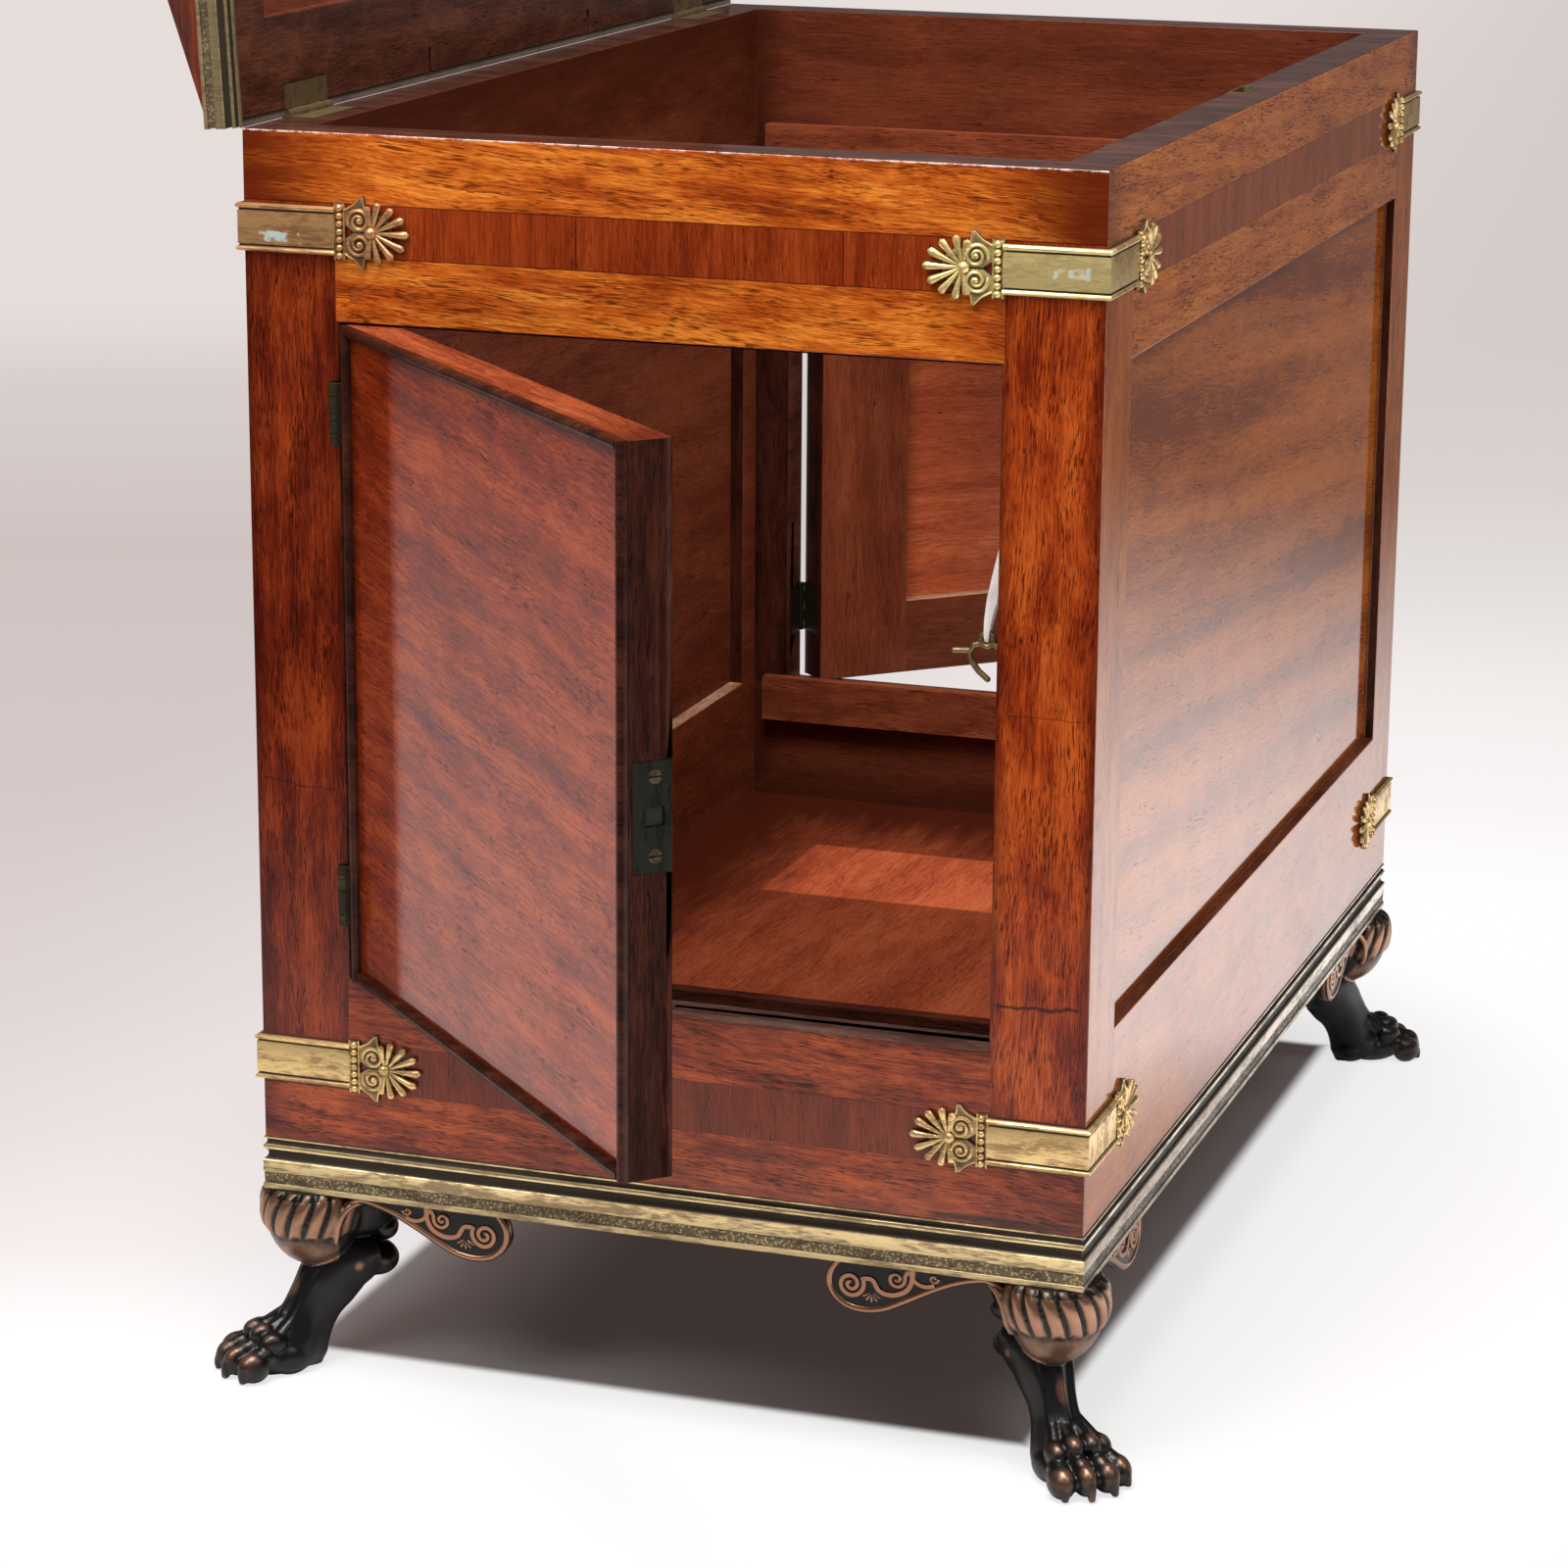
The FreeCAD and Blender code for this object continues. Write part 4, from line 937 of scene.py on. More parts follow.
RED_BROWN: Shades = ((0.062, 0.006, 0.002), (0.155, 0.0175, 0.0040), (0.27, 0.042, 0.0075))
GOLDEN: Shades = ((0.24, 0.032, 0.005), (0.50, 0.105, 0.011), (0.77, 0.25, 0.031))
ORANGE: Shades = ((0.12, 0.011, 0.003), (0.30, 0.040, 0.0060), (0.48, 0.092, 0.013))
LOWER: Shades = ((0.088, 0.011, 0.004), (0.24, 0.038, 0.0092), (0.43, 0.083, 0.0155))
BAND: Shades = ((0.17, 0.020, 0.0033), (0.26, 0.035, 0.006), (0.36, 0.060, 0.009))
LOW_BAND: Shades = ((0.12, 0.017, 0.0052), (0.165, 0.025, 0.007), (0.22, 0.038, 0.010))
WORN: Shades = ((0.30, 0.060, 0.024), (0.48, 0.105, 0.040), (0.68, 0.18, 0.064))
DEEP: Shades = ((0.016, 0.0045, 0.003), (0.036, 0.0095, 0.0055), (0.07, 0.019, 0.010))
FIGURED: Shades = ((0.34, 0.084, 0.013), (0.47, 0.125, 0.020), (0.60, 0.17, 0.030))
DOORS: Shades = ((0.092, 0.0080, 0.0020), (0.185, 0.0205, 0.0035), (0.30, 0.050, 0.0070))
CASE_INSIDE: Shades = ((0.12, 0.027, 0.012), (0.19, 0.045, 0.019), (0.27, 0.070, 0.028))
BANDED: Shades = ((0.25, 0.050, 0.010), (0.45, 0.115, 0.018), (0.64, 0.185, 0.031))
RAIL_SIDE: Shades = ((0.33, 0.070, 0.012), (0.56, 0.15, 0.024), (0.74, 0.24, 0.041))
BAND_SIDE: Shades = ((0.27, 0.058, 0.012), (0.36, 0.080, 0.016), (0.45, 0.11, 0.022))
DUSTY: Shades = ((0.22, 0.10, 0.06), (0.34, 0.18, 0.11), (0.46, 0.27, 0.18))
LID_INSIDE: Shades = ((0.12, 0.025, 0.012), (0.19, 0.043, 0.020), (0.27, 0.068, 0.029))
REVEAL: Shades = ((0.06, 0.018, 0.010), (0.12, 0.036, 0.020), (0.19, 0.062, 0.034))
SILL: Shades = ((0.04, 0.020, 0.016), (0.080, 0.042, 0.032), (0.15, 0.084, 0.066))
RIM: Shades = ((0.03, 0.009, 0.006), (0.06, 0.02, 0.013), (0.11, 0.04, 0.026))
DOOR_TOP: Shades = ((0.11, 0.019, 0.007), (0.19, 0.038, 0.014), (0.29, 0.068, 0.026))
LID_FRAME: Shades = ((0.048, 0.016, 0.009), (0.094, 0.031, 0.018), (0.16, 0.055, 0.030))
BOARDS: Shades = ((0.10, 0.018, 0.008), (0.175, 0.036, 0.014), (0.25, 0.060, 0.022))
END_INSIDE: Shades = ((0.075, 0.017, 0.008), (0.115, 0.026, 0.012), (0.17, 0.042, 0.017))


class Wood(Enum):
    """The carcass's finishes, by the mark of its faces."""

    TOP_ACROSS = 0
    TOP_ALONG = 1
    CROSSBAND = 2
    STILE_LEFT = 3
    STILE_RIGHT = 4
    LOW_ACROSS = 5
    LOW_ALONG = 6
    SIDE_PANEL = 7
    INSIDE = 8
    REVEAL = 9
    LOW_CROSSBAND = 10
    INSIDE_PANEL = 11
    INSIDE_END = 12
    INSIDE_POST = 13
    STILE_SIDE = 14
    SILL = 15
    LEDGE = 16
    CROSSBAND_SIDE = 17
    RIM = 18


def brass_finishes() -> dict[str, Material]:
    """The metal finishes, by name."""
    patches = (
        ((4.0, -4.0, 456.0), (30.0, 1.0, 463.0)),
        ((382.0, -4.0, 460.0), (400.0, 1.0, 466.5)),
    )
    tints = (
        ((-20.0, -20.0, 440.0), (80.0, 120.0, 480.0), (0.80, 0.62, 0.60), "MULTIPLY"),
        ((320.0, -20.0, 448.0), (430.0, 1.0, 476.0), (0.16, 0.22, 0.09), "ADD"),
    )
    finishes = [
        Brass(
            "gilt_brass", bright=(0.84, 0.60, 0.26), tarnish=(0.36, 0.20, 0.09), metal=0.66, verdigris=patches,
            tints=tints,
        ),
        Brass(
            "moulding_brass", bright=(0.80, 0.62, 0.32), tarnish=(0.30, 0.21, 0.12), worn=0.3, scratch=0.95, rough=0.32,
        ),
        # A paler, greyer copy for the long sides: its colour is a painted reflection of the pale floor.
        Brass(
            "moulding_brass_painted_sheen", bright=(0.62, 0.54, 0.43), tarnish=(0.30, 0.25, 0.20), worn=0.3, scratch=0.7,
            rough=0.26, brush=Grain.ALONG,
        ),
        Brass(
            "dull_brass", bright=(0.34, 0.25, 0.12), tarnish=(0.14, 0.10, 0.055), worn=0.3, scratch=0.2, rough=0.42,
            carved=False,
        ),
        Brass(
            "dark_hinge_brass", bright=(0.10, 0.075, 0.045), tarnish=(0.04, 0.032, 0.022), worn=0.2, scratch=0.2,
            rough=0.42, carved=False,
        ),
        Brass(
            "black_iron", bright=(0.006, 0.005, 0.005), tarnish=(0.004, 0.004, 0.004), scratch=0.0, rough=0.6,
            metal=0.2, carved=False,
        ),
        Brass(
            "lock_brass", bright=(0.020, 0.021, 0.016), tarnish=(0.009, 0.011, 0.008), worn=0.3, scratch=0.3,
            rough=0.36, brush=Grain.UPRIGHT, carved=False,
        ),
        Brass(
            "dulled_steel", bright=(0.10, 0.072, 0.045), tarnish=(0.045, 0.03, 0.02), worn=0.3, scratch=0.2, rough=0.4,
            carved=False,
        ),
        Bronze("copper_bronze", copper=(0.33, 0.175, 0.105), rub=(0.28, 0.95)),
        Bronze("scroll_bronze", copper=(0.33, 0.17, 0.10), rub=(0.35, 0.75), coat=0.08),
        Weave(),
    ]
    return {finish.name: finish.build() for finish in finishes}


# ---- the carcass ----
@dataclass
class Carcass:
    """The mahogany case: posts, rails, side panels, with the room for hinges, locks and strikes."""

    wall: float = 25.0
    post: float = 46.0
    base: float = 26.0
    opening: Span = (109.0, 422.0)
    side_opening: Span = (112.0, 420.0)
    recess: float = 5.0
    panel: float = 12.0
    hinge_heights: tuple[float, float] = (151.0, 380.0)
    hinge_length: float = 28.5
    leaf_reach: float = 18.0
    strike: tuple[Span, Span] = ((9.3, 22.3), (245.5, 285.5))
    bolt_hole: tuple[Span, Span] = ((11.3, 20.3), (261.0, 270.0))
    bolt_reach: float = 11.0
    lid_leaf: Span = (48.0, 95.0)
    lock: tuple[Span, Span, Span] = ((381.0, 390.0), (298.0, 362.0), (468.0, 506.0))
    lock_neck: Span = (315.0, 345.0)
    stile: float = 45.0
    stile_by_door: float = 46.5
    upper_line: float = 445.0
    band_split: float = 300.0
    crossband: Span = (452.0, 476.0)
    low_crossband: Span = (54.7, 79.0)

    def blocks(self) -> list[Block]:
        """Wood and cuts of the case."""
        w, p = self.wall, self.post
        solid = [
            Block((0, WIDTH), (0, DEPTH), (self.base, HEIGHT)),
            Block((w, WIDTH - w), (w, DEPTH - w), (self.base - 1, HEIGHT + 1), False),
        ]
        doorway = Block((p, WIDTH - p), (-1, w + 1), self.opening, False)
        outside = Block((-1, self.recess), (p, DEPTH - p), self.side_opening, False)
        inside = Block((self.recess + self.panel, w + 1), (p, DEPTH - p), self.side_opening, False)
        solid += [doorway, mirrored_block(doorway, y=True)]
        solid += [outside, inside, mirrored_block(outside, x=True), mirrored_block(inside, x=True)]
        half = self.hinge_length / 2
        for z in self.hinge_heights:
            leaf = Block((p - 1.2, p), (-1, self.leaf_reach), (z - half, z + half), False)
            knuckle = Block((p - 4.7, p), (-1, 1.6), (z - half - 0.4, z + half + 0.4), False)
            solid += [leaf, knuckle, mirrored_block(leaf, y=True), mirrored_block(knuckle, y=True)]
        right = WIDTH - p
        for cut in (
            Block((right - 0.1, right + 1.2), *self.strike, False),
            Block((right - 0.1, right + self.bolt_reach), *self.bolt_hole, False),
            Block((-1, 14.0), self.lid_leaf, (HEIGHT - 0.8, HEIGHT + 1), False),
        ):
            solid += [cut, mirrored_block(cut, y=True)]
        neck_z = (self.lock[2][1] - 1, HEIGHT + 1)
        solid += [Block(*self.lock, False), Block(self.lock[0], self.lock_neck, neck_z, False)]
        return solid

    def zone(self, centre: Array, normal: Array) -> Array:
        """The finish of each face: by the way it faces and the veneer that covers it there."""
        x, y, z = centre.T
        side, end = np.abs(normal[:, 0]) > 0.5, np.abs(normal[:, 1]) > 0.5
        up = normal[:, 2] > 0.5
        from_side, from_end = np.minimum(x, WIDTH - x), np.minimum(y, DEPTH - y)
        outer_side = side & (from_side < 0.01)
        outer = outer_side | (end & (from_end < 0.01))
        panel = side & (from_end > self.post)
        behind = self.recess + self.panel
        doorway = (z > self.opening[0]) & (z < self.opening[1])
        stile = np.where(doorway, self.stile_by_door, self.stile)
        across, length = np.where(end, x, y), np.where(end, WIDTH, DEPTH)
        left, right = across < stile, across > length - stile
        (low, high), (low2, high2) = self.crossband, self.low_crossband
        band, low_band = (z > low) & (z < high), (z > low2) & (z < high2)
        inner = from_end > self.wall - 0.1
        rules = [
            (panel & (np.abs(from_side - self.recess) < 0.1), Wood.SIDE_PANEL),
            (panel & (np.abs(from_side - behind) < 0.1), Wood.INSIDE_PANEL),
            (outer_side & band, Wood.CROSSBAND_SIDE),
            (outer_side & low_band, Wood.LOW_ALONG),
            (outer & band, Wood.CROSSBAND),
            (outer & (z > high) & end, Wood.TOP_ACROSS),
            (outer & (z > high), Wood.TOP_ALONG),
            (outer & low_band, Wood.LOW_CROSSBAND),
            (outer & (z < low2) & end, Wood.LOW_ACROSS),
            (outer & (z < low2), Wood.LOW_ALONG),
            (outer_side & (left | right), Wood.STILE_SIDE),
            (outer & left, Wood.STILE_LEFT),
            (outer & right, Wood.STILE_RIGHT),
            (outer & (z > self.band_split) & end, Wood.TOP_ACROSS),
            (outer & (z > self.band_split), Wood.TOP_ALONG),
            (outer & end, Wood.LOW_ACROSS),
            (outer, Wood.LOW_ALONG),
            (up & (np.abs(z - self.side_opening[0]) < 0.5) & (from_side > behind), Wood.LEDGE),
            (up & (z > HEIGHT - 8), Wood.RIM),
            (up & (np.abs(z - self.opening[0]) < 1), Wood.SILL),
            (end & inner & (from_side < self.post) & doorway, Wood.INSIDE_POST),
            (end & inner, Wood.INSIDE_END),
            (inner & (from_side > self.wall - 0.1), Wood.INSIDE),
        ]
        return np.select([mask for mask, _ in rules], [wood.value for _, wood in rules], Wood.REVEAL.value)

    def finishes(self) -> list[Material]:
        """The veneers, in the order of their marks."""
        joints = tuple(Crack((x, 464.0), 90.0, 12.5, 0.5, 0.2, depth=0.8) for x in (162.0, 287.0))
        hairlines = tuple(Crack((203.0, z), 0.0, 260.0, 0.42, 0.25, depth=0.75) for z in self.crossband)
        side_lines = tuple(Crack((330.0, z), 0.0, 400.0, 0.4, 0.25, (1, 2), 0.6) for z in self.crossband)
        low_lines = tuple(Crack((203.0, z), 0.0, 260.0, 0.22, 0.25, depth=0.6) for z in self.low_crossband)
        sliver = (Crack((368.0, 29.0), 0.6, 38.0, 2.6, 0.8, depth=0.75),)
        splits = (
            Crack((382.0, 132.0), 1.0, 22.0, 1.25, 3.0), Crack((374.0, 112.0), 84.0, 36.0, 0.4, 2.6),
            Crack((384.0, 266.0), 0.0, 20.0, 0.35, 1.6, depth=0.6),
        )
        left_split = (Crack((22.0, 203.0), -4.0, 21.0, 0.4, 2.4, depth=0.75),)
        banding = {
            "figure": (60.0, 12.0), "strokes": 0.2, "stroke_size": (5.0, 0.4), "fine_lines": 0.25, "mottle": 0.25,
        }
        veneers = [
            # Its pale broken line along the top arris, at z 507.5, is a painted highlight.
            Veneer(
                "top_band_across", GOLDEN, Grain.ACROSS, 4.0, 1.3, (120.0, 9.0), 0.9, (11.0, 0.5),
                edges=((-2, -999, -999), (WIDTH - 6, 999, 999)), edge_reach=62.0, edge_depth=0.95, cracks=hairlines,
                mottle=0.35, rubbed=(Crack((203.0, 507.5), 0.0, 250.0, 0.7, 0.3),),
            ),
            Veneer(
                "top_band_along", RAIL_SIDE, Grain.ALONG, 4.0, 2.1, (120.0, 9.0), 0.8, (11.0, 0.5),
                edges=((-999, -4, 300), (999, DEPTH + 4, 560.0)), edge_reach=40.0, edge_depth=0.7, mottle=0.3,
            ),
            Veneer("crossband", BAND, Grain.UPRIGHT, seed=3.2, cracks=joints + hairlines, **banding),
            Veneer(
                "stile_left", RED_BROWN, Grain.UPRIGHT, 0.0, 4.4, (80.0, 12.0), 0.7, (7.0, 0.5),
                edges=((0, -999, 60), (48, 999, 480)), edge_reach=9.0, edge_depth=0.6, cracks=left_split,
            ),
            Veneer(
                "stile_right", ORANGE, Grain.UPRIGHT, 2.0, 5.9, (80.0, 12.0), 0.9, (8.0, 0.5),
                edges=((359.5, -999, 60), (WIDTH, 999, 480)), edge_reach=8.0, edge_depth=0.65, cracks=splits,
                mottle=0.45,
            ),
            Veneer(
                "low_rail_across", LOWER, Grain.ACROSS, 3.0, 6.3, (130.0, 10.0), 0.8, (9.0, 0.5),
                edges=((0, -999, 22), (WIDTH, 999, 112)), edge_reach=10.0, edge_depth=0.55, cracks=low_lines + sliver,
            ),
            Veneer(
                "low_rail_along", FIGURED, Grain.ALONG, 0.0, 7.7, (170.0, 16.0), 0.1, pores=0.1, swell=0.1,
                edges=((-999, 0, 26), (999, DEPTH, 118)), edge_reach=9.0,
            ),
            Veneer(
                "side_panel", BANDED, Grain.ALONG, 6.0, 8.2, (420.0, 30.0), 0.1, bands=0.6, pores=0.15, swell=0.2,
                edges=((-999, 46, 112), (999, DEPTH - 46, 420)), edge_reach=12.0, edge_depth=0.6, curl=8.0, mottle=0.2,
            ),
            Veneer(
                "inside_wood", CASE_INSIDE, Grain.ALONG, 0.0, 9.1, (200.0, 26.0), 0.05, gloss=0.3, polish=0.25,
                mottle=0.25, edges=((-80, -999, -80), (486, 999, 505)), edge_reach=95.0, edge_depth=0.75,
            ),
            Veneer("reveal_wood", REVEAL, Grain.ALONG, 0.0, 10.6, (120.0, 14.0), 0.3, gloss=0.12, polish=0.3),
            Veneer("low_crossband", LOW_BAND, Grain.UPRIGHT, seed=11.4, cracks=low_lines, **banding),
            Veneer(
                "inside_panel", CASE_INSIDE, Grain.ALONG, 3.0, 12.9, (200.0, 26.0), 0.05, gloss=0.3, polish=0.22,
                mottle=0.25,
            ),
            Veneer(
                "inside_end", END_INSIDE, Grain.ACROSS, 1.0, 12.1, (200.0, 24.0), 0.05, gloss=0.3, polish=0.22,
                mottle=0.25, edges=((25, -999, 40), (381, 999, 930)), edge_reach=24.0, edge_depth=0.6,
            ),
            Veneer("inside_post", DEEP, Grain.UPRIGHT, 0.0, 12.5, (160.0, 14.0), 0.2, gloss=0.3, polish=0.22),
            Veneer("stile_side", FIGURED, Grain.UPRIGHT, 0.0, 18.5, (90.0, 12.0), 0.6, (7.0, 0.5)),
            Veneer("sill_wood", SILL, Grain.ACROSS, 0.0, 19.5, (90.0, 12.0), 0.3, polish=0.08, gloss=1.1),
            Veneer("ledge_wood", DUSTY, Grain.ALONG, 0.0, 21.0, (40.0, 5.0), 0.5, gloss=0.1, polish=0.4),
            Veneer("crossband_side", BAND_SIDE, Grain.UPRIGHT, seed=22.2, cracks=side_lines, **banding),
            Veneer("rim_wood", RIM, Grain.ACROSS, 0.0, 24.5, (90.0, 12.0), 0.3, polish=0.16, gloss=0.85),
        ]
        return [veneer.build() for veneer in veneers]

    def build(self) -> bpy.types.Object:
        """Makes the carcass piece."""
        plan = [(self.stile, size - self.stile) for size in (WIDTH, DEPTH)]
        lines = (*plan, (*self.crossband, *self.low_crossband, self.upper_line, self.band_split))
        form = joinery(self.blocks(), lines, self.zone)
        mesh = make_mesh("carcass", form, recalculate=False)
        nodes = [f"post_{a}_{b}" for a in ("front", "back") for b in ("left", "right")]
        nodes += [f"{side}_{level}_rail" for side in ("front", "back", "left", "right") for level in ("top", "bottom")]
        nodes += ["left_panel", "right_panel"]
        return make_piece("carcass", mesh, Body.CASE, Slot.MAHOGANY, self.finishes(), nodes, bevel=0.7)


# ---- doors ----
@dataclass
class Door:
    """A panelled door: flush figured veneer outside, frame and sunk panel inside."""

    end: str = "front"
    swing: Swing = FRONT_AJAR
    x: Span = (47.0, 358.5)
    z: Span = (110.0, 421.0)
    y: Span = (3.6, 23.6)
    stile: float = 57.0
    rail: float = 44.0
    panel: float = 12.0
    hinge_heights: tuple[float, float] = (151.0, 380.0)
    hinge_length: float = 28.5
    lock_plate: Span = (242.0, 289.0)
    keyhole: tuple[float, float] = (336.5, 267.0)

    def blocks(self) -> list[Block]:
        """Wood and cuts of the closed door."""
        (x0, x1), (z0, z1), (y0, y1) = self.x, self.z, self.y
        key_x, key_z = self.keyhole
        wood = [
            Block(self.x, self.y, self.z),
            Block(
                (x0 + self.stile, x1 - self.stile), (y0 + self.panel, y1 + 1), (z0 + self.rail, z1 - self.rail), False,
            ),
            Block((x1 - 1.6, x1 + 1), (5.6, 23.0), self.lock_plate, False),
            Block((key_x - 2.2, key_x + 2.2), (y0 + self.panel, y1 + 1), (key_z, key_z + 5.0), False),
            Block((key_x - 1.0, key_x + 1.0), (y0 + self.panel, y1 + 1), (key_z - 5.5, key_z), False),
        ]
        half = self.hinge_length / 2
        wood += [Block((x0 - 1, x0 + 1.2), (y0 - 1, 18.0), (z - half, z + half), False) for z in self.hinge_heights]
        if self.end == "back":
            wood = [mirrored_block(block, y=True) for block in wood]
        return wood

    def zone(self, centre: Array, normal: Array) -> Array:
        """0 the face, 1 stiles inside, 2 rails inside, 3 the panel, 4 the edges, 5 the top, 6 the panel's ledge."""
        x, y, z = centre.T
        inward = 1.0 if self.end == "front" else -1.0
        depth = y if self.end == "front" else DEPTH - y
        out = normal[:, 1] * inward < -0.5
        inner = normal[:, 1] * inward > 0.5
        sunk = inner & (depth < self.y[1] - 4) & (x > self.x[0] + self.stile) & (x < self.x[1] - self.stile)
        upright = (x < self.x[0] + self.stile) | (x > self.x[1] - self.stile)
        up = normal[:, 2] > 0.5
        masks = [out, sunk, inner & upright, inner, up & (z > self.z[1] - 1), up & (z > self.z[0] + 5)]
        return np.select(masks, [0, 3, 1, 2, 5, 6], 4)

    def finishes(self) -> list[Material]:
        """The door's veneers, with the figure turned as the door swings."""
        middle = (self.x[0] + self.x[1]) / 2
        cracks = (
            Crack((middle + 10, 254.0), -3.0, 150.0, 0.3, 1.2, depth=0.7),
            Crack((middle - 5, 154.0), -2.0, 60.0, 0.28, 1.5, depth=0.7),
            Crack((middle - 10, 272.0), -19.0, 55.0, 0.22, 1.5, depth=0.5),
            Crack((middle + 40, 262.0), -8.0, 60.0, 0.25, 1.8, depth=0.45),
        )
        edge = ((self.x[0] + 3, -999, self.z[0] + 3), (self.x[1] - 3, 999, self.z[1] - 3))
        inner = {"figure": (200.0, 24.0), "strokes": 0.05, "gloss": 0.3, "polish": 0.2, "mottle": 0.25}

        def wood(name: str, *rest: object, **options: object) -> Material:
            """One of this door's veneers."""
            return Veneer(f"{self.end}_door_{name}", *rest, swing=self.swing, **options).build()

        return [
            # Painted light and shade on the door: the veneer beyond x 97 is made lighter where the reflection lies, and
            # its darkened borders are painted shade beside the beads.
            wood(
                "veneer", DOORS, Grain.ACROSS, 5.0, 13.7, (120.0, 14.0), 0.5, (7.0, 0.4), edges=edge, edge_reach=11.0,
                edge_depth=0.6, cracks=cracks, polish=0.10, mottle=0.35,
                patch=((97.0, -999.0, -999.0), (880.0, 999.0, 999.0), 1.43),
            ),
            wood("stile", CASE_INSIDE, Grain.UPRIGHT, seed=14.1, **inner),
            wood("rail", CASE_INSIDE, Grain.ACROSS, seed=15.8, **inner),
            wood("panel", WORN, Grain.ACROSS, 0.0, 16.5, (300.0, 16.0), 0.04, gloss=0.35, polish=0.2, mottle=0.15),
            wood("edge", DEEP, Grain.UPRIGHT, 0.0, 17.2, (140.0, 3.5), 0.5, gloss=0.12, polish=0.3),
            wood(
                "top", DOOR_TOP, Grain.ACROSS, 0.0, 20.2, (120.0, 4.0), 0.4, gloss=0.3, polish=0.25,
                edges=((-80, -999, -999), (362, 999, 999)), edge_reach=90.0, edge_depth=0.7,
            ),
            wood("ledge", DUSTY, Grain.ACROSS, 0.0, 23.2, (40.0, 5.0), 0.5, gloss=0.1, polish=0.4),
        ]

    def build(self) -> bpy.types.Object:
        """Makes the door's leaf."""
        body = Body.FRONT_DOOR if self.end == "front" else Body.BACK_DOOR
        form = joinery(self.blocks(), ((), (), ()), self.zone)
        mesh = make_mesh(f"{self.end}_door_leaf", form, self.swing, recalculate=False)
        nodes = [f"{self.end}_door_frame", f"{self.end}_door_panel"]
        return make_piece(f"{self.end}_door_leaf", mesh, body, Slot.MAHOGANY, self.finishes(), nodes, bevel=0.6)


# ---- the lid ----
@dataclass
class Lid:
    """The hipped lid: frame and sunk panel underneath, four sloping boards and a flat top."""

    under: float = 508.8
    edge: float = 18.0
    inset: float = 3.0
    long_rail: float = 43.0
    end_rail: float = 30.0
    sunk: float = 5.0
    slope_inset: float = 1.6
    slope_run: float = 72.0
    slope_rise: float = 57.3

    def frame_blocks(self) -> list[Block]:
        """Wood and cuts of the closed lid's frame."""
        low, z = self.inset, self.under
        x, y = (low, WIDTH - low), (low, DEPTH - low)
        leaf = Block((low - 1, 14.0), (48.0, 95.0), (z - 1, z + 1.2), False)
        blocks = [
            Block(x, y, (z, z + self.edge)),
            Block(
                (low + self.long_rail, x[1] - self.long_rail), (low + self.end_rail, y[1] - self.end_rail),
                (z - 1, z + self.sunk), False,
            ),
            leaf,
            mirrored_block(leaf, y=True),
            Block((379.5, 391.5), (308.0, 352.0), (z - 1, z + 1.4), False),
        ]
        blocks += [Block((low - 1, 15.0), (m - 2, m + 2), (z - 1, z + 2.5), False) for m in (219.0, 434.0)]
        return blocks

    def zone(self, centre: Array, normal: Array) -> Array:
        """0 the frame, 1 the sunk panel."""
        return np.where((normal[:, 2] < -0.5) & (centre[:, 2] > self.under + 3) & (centre[:, 0] > 40), 1, 0)

    def top(self) -> Form:
        """The hipped block: four corners at each of four levels, drawn in by the slope, closed above and below."""
        level = self.under + self.edge
        form = Form()
        rings = []
        for inset, z in ((self.slope_inset, level), (self.slope_inset + self.slope_run, level + self.slope_rise)):
            far_x, far_y = WIDTH - inset, DEPTH - inset
            rings.append([(inset, inset, z), (far_x, inset, z), (far_x, far_y, z), (inset, far_y, z)])
        points = np.array(rings, float)
        form.add(points.reshape(-1, 3), np.array([[0, 1, 5, 4], [2, 3, 7, 6]]), 0)
        form.add(points.reshape(-1, 3), np.array([[1, 2, 6, 5], [3, 0, 4, 7]]), 1)
        form.add(points.reshape(-1, 3), np.array([[3, 2, 1, 0], [4, 5, 6, 7]]), 1)
        return form

    def build(self) -> None:
        """Makes the lid's frame and its top."""
        s = RAISED
        form = joinery(self.frame_blocks(), ((), (), ()), self.zone)
        frame_mesh = make_mesh("lid_underside", form, s, recalculate=False)
        dull = {"figure": (160.0, 16.0), "strokes": 0.3, "swing": s, "gloss": 0.5, "polish": 0.15}
        under = [
            Veneer("lid_frame_wood", LID_FRAME, Grain.ALONG, seed=18.3, **dull).build(),
            Veneer("lid_panel_wood", LID_INSIDE, Grain.ALONG, seed=19.2, **dull).build(),
        ]
        make_piece("lid_underside", frame_mesh, Body.LID, Slot.INSIDE, under, ["lid_frame", "lid_panel"], bevel=0.6)
        top = make_mesh("lid_hip", self.top(), s)
        slopes = [
            Veneer("lid_slope_across", ORANGE, Grain.ACROSS, 0.0, 20.4, (140.0, 12.0), 0.5, swing=s).build(),
            Veneer("lid_slope_along", ORANGE, Grain.ALONG, 0.0, 21.5, (150.0, 13.0), 0.5, swing=s).build(),
        ]
        make_piece("lid_hip", top, Body.LID, Slot.MAHOGANY, slopes, ["lid_top"], bevel=1.0)


